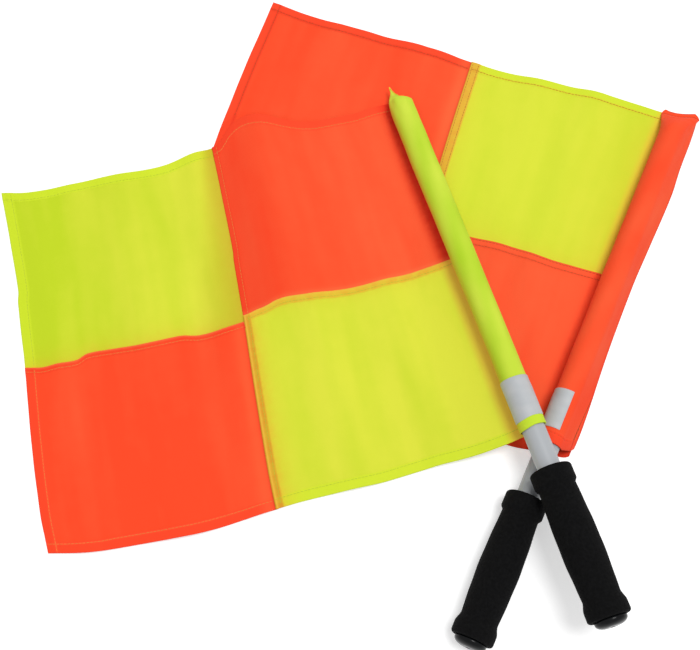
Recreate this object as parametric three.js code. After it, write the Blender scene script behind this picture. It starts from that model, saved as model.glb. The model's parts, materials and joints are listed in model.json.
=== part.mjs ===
// Two linesman flags laid down as a crossed pair.
// Each flag is a plastic pole with a foam grip, an end cap and a tip plug, and a sewn cloth of four
// checker panels that hangs on the pole by a sleeve. Millimetres, +Z up, the lower cloth lies on Z = 0.
// A flag is built in its own frame: X runs from the pole out to the fly, Y runs from tip to grip.

import * as THREE from 'three';

// Driving sizes of the cloth
const FLY = 400;
const HOIST = 350;
const CLOTH_THICKNESS = 0.6;
const SEAM_GAP = 0.3;

// Driving sizes of the pole and its tip plug. The bare pole shows past a sleeve that reaches the pole's tip.
const POLE_DIAMETER = 20;
const POLE_WALL = 1.8;
const BARE_POLE = 21;
const PLUG_STEM = 14;
const PLUG_HEAD = 3;
const PLUG_ROUND = 2;

// Driving sizes of the foam grip
const GRIP_LENGTH = 126;
const COLLAR_DIAMETER = 36;
const NECK_DIAMETER = 31.5;
const BELLY_DIAMETER = 35;
const INNER_COLLAR_LENGTH = 13;
const INNER_COLLAR_STEP = 4;
const OUTER_COLLAR_LENGTH = 9;
const OUTER_COLLAR_STEP = 9;
const COLLAR_ROUND = 2.5;

// Driving sizes of the end cap
const CAP_DIAMETER = 27;
const CAP_HEIGHT = 6.5;
const CAP_RIM = 1.5;
const CAP_STEM = 22;
const CAP_LAND_DIAMETER = 9;
const CAP_HOLE_DIAMETER = 3.4;
const CAP_HOLE_DEPTH = 2.5;

// Driving sizes of the sleeve, of how far its tail covers the cloth, and of the tab round its foot
const SLEEVE_OVERRUN = 8;
const SLEEVE_WALL = 0.9;
const SLEEVE_CLEARANCE = 0.8;
const SLEEVE_TAIL = 22;
const TAIL_COVER = 1.5;
const TAIL_TUCK = 40;
const REACH_RUN = 90;
const TAB_LENGTH = 37;
const TAB_WIDTH = 44;
const TAB_THICKNESS = 0.7;

// How the pair lies, with headings in degrees from +X and the crossing measured back from each grip, and how
// the upper cloth falls from its sleeve
const TOUCH_GAP = 0.3;
const RISE_STEP = 0.1;
const LOWER_HEADING = -114.2;
const UPPER_HEADING = -72.5;
const LOWER_CROSSING_TO_GRIP = 31;
const UPPER_CROSSING_TO_GRIP = 11;
const FLAT_MARGIN = 25;
const FOLD_FADE = 40;
const STEP_RUN = 25;
const FOLD_RISE = 3.6;
const FALL_STRETCH = 3;

// Where the lower flag's sleeve starts, how much of its tip is empty, how much further its mouth reaches by
// the pole than at the seam, its tab, and its pressed sleeve tip
const LOWER_SLEEVE_START = -10;
const LOWER_TIP_SLACK = 37;
const LOWER_MOUTH_REACH = 8;
const LOWER_TAB_FROM_FOOT = 13;
const LOWER_TIP_LENGTH = 34;
const LOWER_TIP_LEFT = 14;
const LOWER_TIP_RIGHT = 21;
const LOWER_TIP_HALF_HEIGHT = 1.2;
const LOWER_TIP_LIFT = 2.4;

// The same sizes of the upper flag
const UPPER_SLEEVE_START = -4;
const UPPER_TIP_SLACK = 20;
const UPPER_MOUTH_REACH = 2;
const UPPER_TAB_FROM_FOOT = 8;
const UPPER_TIP_LENGTH = 18;
const UPPER_TIP_LEFT = 5;
const UPPER_TIP_RIGHT = 11;
const UPPER_TIP_HALF_HEIGHT = 1.2;
const UPPER_TIP_LIFT = 11;

// Faces round turned pieces and sleeves, cells along panels and tabs, and steps over a cap dome
const TURN_FACES = 32;
const SLEEVE_FACES = 24;
const PANEL_CELLS = 10;
const TAB_CELLS = 2;
const DOME_STEPS = 5;

// Places along the upper pole, and round it, where its clearance at the crossing is measured
const CROSSING_STEPS = 60;
const CROSSING_TURNS = 48;

// How each material looks
const ORANGE_CLOTH = { color: 0xff5530, roughness: 0.75 };
const YELLOW_CLOTH = { color: 0xd6e432, roughness: 0.75 };
const GREY_TAB = { color: 0xb8bec5, roughness: 0.5 };
const GREY_PLASTIC = { color: 0xb8bec5, roughness: 0.4 };
const BLACK_FOAM = { color: 0x141414, roughness: 0.95 };
const BLACK_GLOSS = { color: 0x141414, roughness: 0.25 };

// Sizes that follow
const poleRadius = POLE_DIAMETER / 2;
const boreRadius = poleRadius - POLE_WALL;
const sleeveInner = poleRadius + SLEEVE_CLEARANCE;
const sleeveOuter = sleeveInner + SLEEVE_WALL;
const sleeveLength = HOIST + SLEEVE_OVERRUN;
const poleLength = sleeveLength + BARE_POLE + GRIP_LENGTH;
const restHeight = CLOTH_THICKNESS + TOUCH_GAP;

// The lower flag: its cloth lies on the floor, and its sleeve is turned so that the seam is a tail at right.
// Corner shares are of the fly and of the hoist, and go round from the tip of the sleeve by the tip edge.
// Edge shares pair a place along the edge with a bow.
const LOWER = {
  name: 'lower',
  heading: LOWER_HEADING,
  sleeveStart: LOWER_SLEEVE_START,
  tipSlack: LOWER_TIP_SLACK,
  mouthReach: LOWER_MOUTH_REACH,
  tabFromFoot: LOWER_TAB_FROM_FOOT,
  tabMiddle: 2,
  tipLength: LOWER_TIP_LENGTH,
  tipLeft: LOWER_TIP_LEFT,
  tipRight: LOWER_TIP_RIGHT,
  tipHalfHeight: LOWER_TIP_HALF_HEIGHT,
  tipLift: LOWER_TIP_LIFT,
  tipSlantShare: 0.27,
  cornerShares: [[-0.05, -0.017], [1.035, 0.105], [0.935, 1.125], [-0.055, 1.017]],
  tipEdgeShares: [
    [0, 0], [0.08, -0.008], [0.17, -0.009], [0.28, -0.004], [0.44, 0.008], [0.54, 0.005], [0.6, -0.001],
    [0.7, 0.006], [0.78, 0.005], [0.86, 0.009], [1, -0.004],
  ],
  gripEdgeShares: [[0, 0], [0.06, 0.002], [0.13, 0.012], [0.4, 0.01], [1, 0]],
  flyEdgeShares: [[0, 0.002], [0.2, 0.006], [0.5, 0.004], [1, 0]],
  tailShares: [
    [0, 0.93], [0.13, 0.93], [0.22, 1], [0.4, 0.91], [0.5, 0.86], [0.7, 0.9], [0.9, 1.04], [1, 1.03],
  ],
  middleShares: [[0, -0.006], [0.1, -0.01], [0.2, -0.006], [0.31, -0.01], [0.4, -0.004], [1, 0]],
  hoistSeamShares: [0.517, 0.46],
  sleeveSideSeamShares: [0.517, 0.51],
  flySideSeamShares: [0.51, 0.5],
  folds: [
    { atShare: 0.2, leanShare: -0.03, widthShare: 0.045, riseShare: 0.89 },
    { atShare: 0.33, leanShare: -0.04, widthShare: 0.05, riseShare: 0.67 },
    { atShare: 0.66, leanShare: -0.05, widthShare: 0.055, riseShare: 0.94 },
    { atShare: 0.85, leanShare: -0.06, widthShare: 0.05, riseShare: 0.72 },
  ],
};

// The upper flag: it leans on the lower pole where they cross, and its cloth falls from the sleeve to the
// floor.
const UPPER = {
  name: 'upper',
  heading: UPPER_HEADING,
  sleeveStart: UPPER_SLEEVE_START,
  tipSlack: UPPER_TIP_SLACK,
  mouthReach: UPPER_MOUTH_REACH,
  tabFromFoot: UPPER_TAB_FROM_FOOT,
  tabMiddle: 90,
  tipLength: UPPER_TIP_LENGTH,
  tipLeft: UPPER_TIP_LEFT,
  tipRight: UPPER_TIP_RIGHT,
  tipHalfHeight: UPPER_TIP_HALF_HEIGHT,
  tipLift: UPPER_TIP_LIFT,
  tipSlantShare: -0.95,
  cornerShares: [[0.009, 0.026], [0.968, -0.046], [1.044, 0.936], [0.009, 1.022]],
  tipEdgeShares: [
    [0, -0.022], [0.06, -0.019], [0.12, -0.01], [0.18, -0.009], [0.24, -0.02], [0.29, -0.042], [0.34, -0.067],
    [0.385, -0.072], [0.42, -0.052], [0.46, -0.0055], [0.52, 0.005], [0.64, 0.024], [0.8, 0.018],
    [0.93, 0.018], [1, 0],
  ],
  gripEdgeShares: [
    [0, 0.002], [0.04, 0.007], [0.09, 0.0105], [0.137, 0.011], [0.18, 0.0105], [0.225, 0.0128],
    [0.27, 0.0163], [0.32, 0.0195], [0.48, 0.019], [0.6, 0.03], [0.7, 0.038], [0.82, 0.03], [0.92, 0.021],
    [1, 0],
  ],
  flyEdgeShares: [
    [0, 0.003], [0.15, -0.003], [0.305, -0.0075], [0.335, -0.0035], [0.5, -0.001], [0.7, 0.005], [0.9, 0.006],
    [1, 0],
  ],
  middleShares: [
    [0, 0.01], [0.15, 0.005], [0.24, 0.012], [0.3, 0.02], [0.36, 0.027], [0.42, 0.014], [0.465, 0.002],
    [0.5, 0.008], [0.56, 0.008], [0.61, 0], [0.65, -0.014], [0.74, -0.0155], [0.8, -0.02], [0.86, -0.0235],
    [0.885, -0.0125], [0.93, -0.011], [0.965, -0.004], [1, -0.005],
  ],
  hoistSeamShares: [0.474, 0.533],
  sleeveSideSeamShares: [0.49, 0.488],
  flySideSeamShares: [0.504, 0.52],
  folds: [
    { atShare: 0.16, leanShare: 0.03, widthShare: 0.04, riseShare: 0.61 },
    { atShare: 0.33, leanShare: 0.04, widthShare: 0.05, riseShare: 0.94 },
    { atShare: 0.52, leanShare: 0.08, widthShare: 0.035, riseShare: 0.72 },
    { atShare: 0.7, leanShare: 0.06, widthShare: 0.06, riseShare: 1 },
    { atShare: 0.9, leanShare: 0.07, widthShare: 0.045, riseShare: 0.78 },
  ],
};

// Small helpers
const mix = (from, to, share) => from + (to - from) * share;
const clamp01 = (value) => Math.min(1, Math.max(0, value));

function smooth(value) {
  const t = clamp01(value);
  return t * t * (3 - 2 * t);
}

// A smooth curve through pairs of place and value
function along(pairs, place) {
  const last = pairs.length - 1;
  let i = 0;
  while (i < last - 1 && place > pairs[i + 1][0]) i += 1;
  const slopeAt = (k) => {
    const before = pairs[Math.max(0, k - 1)];
    const after = pairs[Math.min(last, k + 1)];
    return (after[1] - before[1]) / (after[0] - before[0]);
  };
  const [startPlace, startValue] = pairs[i];
  const [endPlace, endValue] = pairs[i + 1];
  const span = endPlace - startPlace;
  const t = clamp01((place - startPlace) / span);
  const t2 = t * t;
  const t3 = t2 * t;
  return (2 * t3 - 3 * t2 + 1) * startValue + (t3 - 2 * t2 + t) * span * slopeAt(i)
    + (3 * t2 - 2 * t3) * endValue + (t3 - t2) * span * slopeAt(i + 1);
}

function material(look) {
  return new THREE.MeshStandardMaterial({ ...look, metalness: 0, side: THREE.DoubleSide });
}

function solidFrom(vertices, faces) {
  const geometry = new THREE.BufferGeometry();
  geometry.setAttribute('position', new THREE.Float32BufferAttribute(vertices.flat(), 3));
  geometry.setIndex(faces.flat());
  geometry.computeVertexNormals();
  return geometry;
}

// Where a flag lies: its corner of the floor plan and the height and slope of its pole axis
function planDirection(heading) {
  const angle = THREE.MathUtils.degToRad(heading);
  return new THREE.Vector2(Math.cos(angle), Math.sin(angle));
}

function measureFlag(flag) {
  flag.turn = THREE.MathUtils.degToRad(flag.heading) - Math.PI / 2;
  flag.poleStart = flag.sleeveStart + flag.tipSlack;
  flag.gripStart = flag.poleStart + poleLength - GRIP_LENGTH;
  flag.sleeveFoot = flag.sleeveStart + sleeveLength;
}

function placeFlag(flag, origin, tipHeight, farHeight, farPlace) {
  flag.origin = origin;
  flag.tipHeight = tipHeight;
  flag.slope = (farHeight - tipHeight) / farPlace;
}

const axisHeight = (flag, y) => flag.tipHeight + flag.slope * y;

function toPlan(flag, x, y) {
  return new THREE.Vector2(x, y).rotateAround(new THREE.Vector2(), flag.turn).add(flag.origin);
}

function fromPlan(flag, point) {
  return point.clone().sub(flag.origin).rotateAround(new THREE.Vector2(), -flag.turn);
}

// Grip outline: radius at a distance from its inner end
function gripRadius(place) {
  const collar = COLLAR_DIAMETER / 2;
  const neck = NECK_DIAMETER / 2;
  const belly = BELLY_DIAMETER / 2;
  const fromEnd = Math.min(place, GRIP_LENGTH - place);
  const innerNeck = INNER_COLLAR_LENGTH + INNER_COLLAR_STEP;
  const outerNeck = GRIP_LENGTH - OUTER_COLLAR_LENGTH - OUTER_COLLAR_STEP;
  if (fromEnd < COLLAR_ROUND) {
    const depth = COLLAR_ROUND - Math.max(0, fromEnd);
    return collar - COLLAR_ROUND + Math.sqrt(COLLAR_ROUND * COLLAR_ROUND - depth * depth);
  }
  if (place < innerNeck) return mix(collar, neck, smooth((place - INNER_COLLAR_LENGTH) / INNER_COLLAR_STEP));
  if (place > outerNeck) return mix(neck, collar, smooth((place - outerNeck) / OUTER_COLLAR_STEP));
  return mix(neck, belly, Math.sin(Math.PI * (place - innerNeck) / (outerNeck - innerNeck)));
}

// Radius of what lies round the pole axis at a distance from the tip
function radiusAt(flag, place) {
  const onGrip = place - flag.gripStart;
  if (onGrip >= 0 && onGrip <= GRIP_LENGTH) return gripRadius(onGrip);
  return place < flag.sleeveFoot + flag.mouthReach ? sleeveOuter : poleRadius;
}

function axisLine(flag) {
  const direction = planDirection(flag.heading);
  const start = new THREE.Vector3(flag.origin.x, flag.origin.y, flag.tipHeight);
  return { start, direction: new THREE.Vector3(direction.x, direction.y, flag.slope).normalize() };
}

// Least gap between the upper flag's pole and grip and the lower flag's, near the crossing
function crossingGap() {
  const upper = axisLine(UPPER);
  const lower = axisLine(LOWER);
  const side = new THREE.Vector3().crossVectors(upper.direction, new THREE.Vector3(0, 0, 1)).normalize();
  const up = new THREE.Vector3().crossVectors(side, upper.direction);
  let least = Infinity;
  for (let i = 0; i <= CROSSING_STEPS; i += 1) {
    const gripMiddle = UPPER.gripStart + GRIP_LENGTH / 2;
    const place = mix(UPPER.gripStart - UPPER_CROSSING_TO_GRIP - poleRadius, gripMiddle, i / CROSSING_STEPS);
    const radius = radiusAt(UPPER, place);
    for (let k = 0; k < CROSSING_TURNS; k += 1) {
      const angle = 2 * Math.PI * k / CROSSING_TURNS;
      const point = upper.start.clone().addScaledVector(upper.direction, place);
      point.addScaledVector(side, radius * Math.cos(angle)).addScaledVector(up, radius * Math.sin(angle));
      point.sub(lower.start);
      const lowerPlace = point.dot(lower.direction);
      const distance = point.addScaledVector(lower.direction, -lowerPlace).length();
      least = Math.min(least, distance - radiusAt(LOWER, lowerPlace));
    }
  }
  return least;
}

// The lower flag rests on its sleeve tip and on its inner grip collar. The upper one rests on two cloths at
// its tip, and is raised at the crossing until its grip clears the lower pole and grip.
function layPair() {
  measureFlag(LOWER);
  measureFlag(UPPER);
  const onLower = LOWER.gripStart - LOWER_CROSSING_TO_GRIP;
  const onUpper = UPPER.gripStart - UPPER_CROSSING_TO_GRIP;
  const collarPlace = LOWER.gripStart + COLLAR_ROUND;
  const collarHeight = COLLAR_DIAMETER / 2 + TOUCH_GAP;
  placeFlag(LOWER, new THREE.Vector2(), restHeight + sleeveOuter, collarHeight, collarPlace);
  const crossing = planDirection(LOWER_HEADING).multiplyScalar(onLower);
  const origin = crossing.clone().addScaledVector(planDirection(UPPER_HEADING), -onUpper);
  let rise = axisHeight(LOWER, onLower) + POLE_DIAMETER + TOUCH_GAP;
  do {
    placeFlag(UPPER, origin, 2 * restHeight + sleeveOuter, rise, onUpper);
    rise += RISE_STEP;
  } while (crossingGap() < TOUCH_GAP);
}

// How far the sleeve edge of a cloth moves in to stay under the sleeve's tail, where there is one
function tuckUnderTail(flag, flyShare, hoistShare) {
  if (!flag.tailShares) return 0;
  const edge = FLY * mix(flag.cornerShares[0][0], flag.cornerShares[3][0], hoistShare);
  const insideTail = TAIL_COVER - SLEEVE_TAIL * along(flag.tailShares, hoistShare);
  return Math.max(insideTail - edge, 0) * (1 - smooth(FLY * flyShare / TAIL_TUCK));
}

// Cloth outline: fly share and hoist share to a place in the flag's frame
function clothPlan(flag, flyShare, hoistShare) {
  const [tipSleeve, tipFly, gripFly, gripSleeve] = flag.cornerShares;
  const corner = (axis) => mix(
    mix(tipSleeve[axis], tipFly[axis], flyShare),
    mix(gripSleeve[axis], gripFly[axis], flyShare),
    hoistShare,
  );
  const bow = along(flag.tipEdgeShares, flyShare) * (1 - hoistShare)
    + along(flag.gripEdgeShares, flyShare) * hoistShare
    + along(flag.middleShares, flyShare) * 4 * hoistShare * (1 - hoistShare);
  const flyBow = along(flag.flyEdgeShares, hoistShare) * flyShare;
  const tuck = tuckUnderTail(flag, flyShare, hoistShare);
  return new THREE.Vector2(FLY * (corner(0) + flyBow) + tuck, HOIST * (corner(1) + bow));
}

// Distance outside the lower cloth's four corners, negative inside
function outsideLower(point) {
  const corners = LOWER.cornerShares.map(([x, y]) => new THREE.Vector2(FLY * x, HOIST * y));
  let outside = -Infinity;
  corners.forEach((corner, i) => {
    const edge = corners[(i + 1) % corners.length].clone().sub(corner).normalize();
    outside = Math.max(outside, point.clone().sub(corner).dot(new THREE.Vector2(edge.y, -edge.x)));
  });
  return outside;
}

function foldHeight(flag, x, y) {
  return flag.folds.reduce((sum, fold) => {
    const middle = FLY * (fold.atShare + fold.leanShare * y / HOIST);
    const offset = (x - middle) / (FLY * fold.widthShare);
    return sum + FOLD_RISE * fold.riseShare * Math.exp(-offset * offset);
  }, 0);
}

// Underside of the lower cloth: folds where the upper flag doesn't cover it, flat on the floor elsewhere
function lowerUnderside(x, y) {
  const onUpper = fromPlan(UPPER, toPlan(LOWER, x, y));
  const outsideUpper = Math.max(-FLAT_MARGIN - onUpper.x, -FLAT_MARGIN - onUpper.y);
  const clearOfSleeve = smooth((x - sleeveOuter) / FOLD_FADE);
  return foldHeight(LOWER, x, y) * smooth(outsideUpper / FOLD_FADE) * clearOfSleeve;
}

// Underside of the upper cloth: on the lower cloth, then on the floor, and up to the sleeve's underside
function upperUnderside(x, y) {
  const onLower = fromPlan(LOWER, toPlan(UPPER, x, y));
  const onFloor = smooth((outsideLower(onLower) - CLOTH_THICKNESS) / STEP_RUN);
  const support = mix(restHeight, 0, onFloor);
  const hangHeight = Math.max(0, axisHeight(UPPER, y) - sleeveOuter - restHeight - support);
  const seamPlace = FLY * UPPER.cornerShares[0][0];
  const away = clamp01((x - seamPlace) / (sleeveOuter + FALL_STRETCH * hangHeight));
  const folds = foldHeight(UPPER, x, y) * smooth((x - sleeveOuter) / FOLD_FADE);
  return support + folds + hangHeight * (1 - away) * (1 - away);
}

// A thin closed sheet over a grid: its underside follows the surface, its top stands off along the normal
function sheetSolid(surface, columns, rows, thickness) {
  const nudgeShare = 0.001;
  const bottom = [];
  const top = [];
  for (let j = 0; j <= rows; j += 1) {
    for (let i = 0; i <= columns; i += 1) {
      const s = i / columns;
      const t = j / rows;
      const point = surface(s, t);
      const alongS = surface(s + nudgeShare, t).sub(surface(s - nudgeShare, t));
      const alongT = surface(s, t + nudgeShare).sub(surface(s, t - nudgeShare));
      const normal = alongS.cross(alongT).normalize();
      bottom.push(point.toArray());
      top.push(point.clone().addScaledVector(normal, thickness).toArray());
    }
  }
  const count = bottom.length;
  const wide = columns + 1;
  const faces = [];
  const quad = (a, b, c, d) => faces.push([a, b, c], [a, c, d]);
  for (let j = 0; j < rows; j += 1) {
    for (let i = 0; i < columns; i += 1) {
      const a = j * wide + i;
      quad(a, a + wide, a + wide + 1, a + 1);
      quad(count + a, count + a + 1, count + a + wide + 1, count + a + wide);
    }
  }
  for (let i = 0; i < columns; i += 1) {
    const far = rows * wide + i;
    quad(i, i + 1, count + i + 1, count + i);
    quad(far + 1, far, count + far, count + far + 1);
  }
  for (let j = 0; j < rows; j += 1) {
    const near = j * wide;
    const far = near + columns;
    quad(near + wide, near, count + near, count + near + wide);
    quad(far, far + wide, count + far + wide, count + far);
  }
  return solidFrom(bottom.concat(top), faces);
}

// One checker panel, between the sleeve or fly edge and the hoist seam, on one side of the fly seam.
// By the sleeve its cells are closer, because the cloth bends more there.
function clothPanel(flag, underside, onFlySide, onGripSide) {
  const flyGap = SEAM_GAP / 2 / FLY;
  const hoistGap = SEAM_GAP / 2 / HOIST;
  const [seamTipShare, seamGripShare] = flag.hoistSeamShares;
  const [nearShare, farShare] = onFlySide ? flag.flySideSeamShares : flag.sleeveSideSeamShares;
  const surface = (s, t) => {
    const flySeam = mix(nearShare, farShare, s);
    const hoistShare = onGripSide ? mix(flySeam + hoistGap, 1, t) : mix(0, flySeam - hoistGap, t);
    const hoistSeam = mix(seamTipShare, seamGripShare, hoistShare);
    const fromSleeve = Math.abs(s) * (1 + s) / 2;
    const flyShare = onFlySide ? mix(hoistSeam + flyGap, 1, s) : (hoistSeam - flyGap) * fromSleeve;
    const plan = clothPlan(flag, flyShare, hoistShare);
    return new THREE.Vector3(plan.x, plan.y, underside(plan.x, plan.y));
  };
  return sheetSolid(surface, PANEL_CELLS, PANEL_CELLS, CLOTH_THICKNESS);
}

// Sleeve section at full width: a circle round the pole, with a tail down to the seam where there is one
function sleeveSection(flag, y, angle, radius) {
  const height = axisHeight(flag, y);
  if (flag !== LOWER) return [radius * Math.cos(angle), height + radius * Math.sin(angle)];
  const reachOut = SLEEVE_TAIL * along(flag.tailShares, y / sleeveLength);
  const tail = new THREE.Vector2(-reachOut, restHeight + SLEEVE_WALL - height);
  const wrap = Math.acos(sleeveOuter / tail.length());
  const fromTail = Math.abs(Math.atan2(Math.sin(angle - tail.angle()), Math.cos(angle - tail.angle())));
  const reach = fromTail < wrap ? radius / Math.cos(wrap - fromTail) : radius;
  return [reach * Math.cos(angle), height + reach * Math.sin(angle)];
}

// How much further a sleeve's mouth, and the tab by it, reach at a place across the sleeve
const reachAt = (flag, x) => flag.mouthReach * clamp01((x + SLEEVE_TAIL) / (SLEEVE_TAIL - sleeveOuter));

// Sleeve ring at a distance from the tip, flattened to the closed seam at the tip
function sleeveRing(flag, place, radius) {
  const middle = (flag.tipLeft - flag.tipRight) / 2;
  const halfWidth = (flag.tipLeft + flag.tipRight) / 2;
  const inset = sleeveOuter - radius;
  const opened = Math.sqrt(smooth(place / flag.tipLength));
  const nearMouth = smooth((place - sleeveLength + REACH_RUN) / REACH_RUN);
  const ring = [];
  for (let k = 0; k < SLEEVE_FACES; k += 1) {
    const angle = 2 * Math.PI * k / SLEEVE_FACES;
    const y = flag.sleeveStart + place;
    const [fullX, fullZ] = sleeveSection(flag, y, angle, radius);
    const flatX = middle + (halfWidth - inset) * Math.cos(angle);
    const flatZ = flag.tipLift + (flag.tipHalfHeight - inset / 2) * Math.sin(angle);
    const leaned = flag.tipSlantShare * flatX * (1 - opened) + reachAt(flag, fullX) * nearMouth;
    ring.push([mix(flatX, fullX, opened), y + leaned, mix(flatZ, fullZ, opened)]);
  }
  return ring;
}

// A hollow loft, closed at its first rings and open at its last
function hollowLoft(outerRings, innerRings) {
  const vertices = outerRings.concat(innerRings).flat();
  const faces = [];
  const round = SLEEVE_FACES;
  const strip = (first, second) => {
    for (let k = 0; k < round; k += 1) {
      const next = (k + 1) % round;
      faces.push([first + k, second + k, second + next], [first + k, second + next, first + next]);
    }
  };
  const lid = (start, facing) => {
    const middle = new THREE.Vector3();
    for (let k = 0; k < round; k += 1) middle.add(new THREE.Vector3(...vertices[start + k]));
    vertices.push(middle.divideScalar(round).toArray());
    for (let k = 0; k < round; k += 1) {
      const pair = [start + k, start + (k + 1) % round];
      faces.push(facing ? [vertices.length - 1, ...pair] : [vertices.length - 1, ...pair.reverse()]);
    }
  };
  const innerStart = outerRings.length * round;
  const lastOuter = innerStart - round;
  const lastInner = innerStart + (innerRings.length - 1) * round;
  for (let start = 0; start < lastOuter; start += round) strip(start, start + round);
  for (let start = innerStart; start < lastInner; start += round) strip(start + round, start);
  strip(lastOuter, lastInner);
  lid(0, true);
  lid(innerStart, false);
  return solidFrom(vertices, faces);
}

function sleeve(flag) {
  const tipShares = [0, 0.08, 0.2, 0.4, 0.65, 1];
  const runShares = [0.15, 0.4, 0.7, 1];
  const places = tipShares.map((share) => share * flag.tipLength);
  runShares.forEach((share) => places.push(mix(flag.tipLength, sleeveLength, share)));
  const outer = places.map((place) => sleeveRing(flag, place, sleeveOuter));
  const inner = places.slice(1).map((place) => sleeveRing(flag, place, sleeveInner));
  return hollowLoft(outer, inner);
}

// The tab: a patch wrapped round the sleeve near its foot
function sleeveTab(flag) {
  const radius = sleeveOuter + TOUCH_GAP;
  const middle = THREE.MathUtils.degToRad(flag.tabMiddle);
  const halfWrap = TAB_WIDTH / radius / 2;
  const end = flag.sleeveFoot - flag.tabFromFoot;
  const surface = (s, t) => {
    const y = mix(end - TAB_LENGTH, end, s);
    const [x, z] = sleeveSection(flag, y, mix(middle - halfWrap, middle + halfWrap, t), radius);
    return new THREE.Vector3(x, y + reachAt(flag, x), z);
  };
  return sheetSolid(surface, TAB_CELLS, SLEEVE_FACES, TAB_THICKNESS);
}

// Turned pieces, drawn as radius and distance along the pole axis
function turned(profile) {
  const points = profile.map(([radius, place]) => new THREE.Vector2(radius, place));
  return new THREE.LatheGeometry(points, TURN_FACES);
}

function poleTube(flag) {
  const end = flag.poleStart + poleLength;
  return turned([
    [boreRadius, flag.poleStart], [poleRadius, flag.poleStart], [poleRadius, end], [boreRadius, end],
    [boreRadius, flag.poleStart],
  ]);
}

function tipPlug(flag) {
  const seat = flag.poleStart - TOUCH_GAP;
  const crown = seat - PLUG_HEAD;
  const stem = boreRadius - TOUCH_GAP;
  return turned([
    [0, crown], [poleRadius - PLUG_ROUND, crown], [poleRadius, crown + PLUG_ROUND],
    [poleRadius, seat], [stem, seat], [stem, seat + PLUG_STEM], [0, seat + PLUG_STEM],
  ]);
}

function foamGrip(flag) {
  const bore = poleRadius + TOUCH_GAP;
  const roundShares = [0, 0.08, 0.35, 1];
  const bodyShares = [0.25, 0.5, 0.75];
  const innerNeck = INNER_COLLAR_LENGTH + INNER_COLLAR_STEP;
  const outerNeck = GRIP_LENGTH - OUTER_COLLAR_LENGTH - OUTER_COLLAR_STEP;
  const places = roundShares.map((share) => share * COLLAR_ROUND);
  places.push(INNER_COLLAR_LENGTH, innerNeck);
  bodyShares.forEach((share) => places.push(mix(innerNeck, outerNeck, share)));
  places.push(outerNeck, GRIP_LENGTH - OUTER_COLLAR_LENGTH);
  roundShares.toReversed().forEach((share) => places.push(GRIP_LENGTH - share * COLLAR_ROUND));
  const profile = places.map((place) => [gripRadius(place), flag.gripStart + place]);
  profile.push([bore, flag.gripStart + GRIP_LENGTH], [bore, flag.gripStart], profile[0]);
  return turned(profile);
}

function endCap(flag) {
  const seat = flag.gripStart + GRIP_LENGTH + TOUCH_GAP;
  const crown = seat + CAP_HEIGHT;
  const stem = boreRadius - TOUCH_GAP;
  const profile = [[0, seat - CAP_STEM], [stem, seat - CAP_STEM], [stem, seat], [CAP_DIAMETER / 2, seat]];
  for (let i = 0; i <= DOME_STEPS; i += 1) {
    const angle = Math.PI / 2 * i / DOME_STEPS;
    const radius = mix(CAP_LAND_DIAMETER / 2, CAP_DIAMETER / 2, Math.cos(angle));
    profile.push([radius, mix(seat + CAP_RIM, crown, Math.sin(angle))]);
  }
  profile.push([CAP_HOLE_DIAMETER / 2, crown], [CAP_HOLE_DIAMETER / 2, crown - CAP_HOLE_DEPTH]);
  profile.push([0, crown - CAP_HOLE_DEPTH]);
  return turned(profile);
}

// One whole flag. The tip look is that of the panel at the tip of the sleeve and of the one across from it.
function buildFlag(flag, underside, sleeveLook, tipLook, otherLook) {
  const group = new THREE.Group();
  group.position.set(flag.origin.x, flag.origin.y, 0);
  group.rotation.z = flag.turn;
  const make = (part, geometry, look) => {
    const mesh = new THREE.Mesh(geometry, material(look));
    mesh.name = `${flag.name}_${part}`;
    return mesh;
  };

  group.add(make('panel_tip_sleeve', clothPanel(flag, underside, false, false), tipLook));
  group.add(make('panel_tip_fly', clothPanel(flag, underside, true, false), otherLook));
  group.add(make('panel_grip_sleeve', clothPanel(flag, underside, false, true), otherLook));
  group.add(make('panel_grip_fly', clothPanel(flag, underside, true, true), tipLook));
  group.add(make('sleeve', sleeve(flag), sleeveLook));
  group.add(make('sleeve_tab', sleeveTab(flag), GREY_TAB));

  const pole = new THREE.Group();
  pole.position.z = flag.tipHeight;
  pole.rotation.x = Math.atan(flag.slope);
  pole.add(make('pole_tube', poleTube(flag), GREY_PLASTIC));
  pole.add(make('tip_plug', tipPlug(flag), GREY_PLASTIC));
  pole.add(make('foam_grip', foamGrip(flag), BLACK_FOAM));
  pole.add(make('end_cap', endCap(flag), BLACK_GLOSS));
  group.add(pole);
  return group;
}

layPair();
const pair = new THREE.Group();
pair.add(buildFlag(LOWER, lowerUnderside, ORANGE_CLOTH, YELLOW_CLOTH, ORANGE_CLOTH));
pair.add(buildFlag(UPPER, upperUnderside, YELLOW_CLOTH, ORANGE_CLOTH, YELLOW_CLOTH));

// The origin is the middle of the pair's box, on the floor
const box = new THREE.Box3().setFromObject(pair, true);
const middle = box.getCenter(new THREE.Vector3());
pair.position.set(-middle.x, -middle.y, -box.min.z);
pair.updateMatrixWorld(true);

export default pair;
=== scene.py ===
# Looks of two linesman flags laid down as a crossed pair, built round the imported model. Metres, +Z up.
# Each flag has its own frame, as in the model: x runs from the pole out to the fly, y runs from tip to
# grip, and z is up. Angles round a pole start at x and turn towards z.

import json
import math

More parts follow.
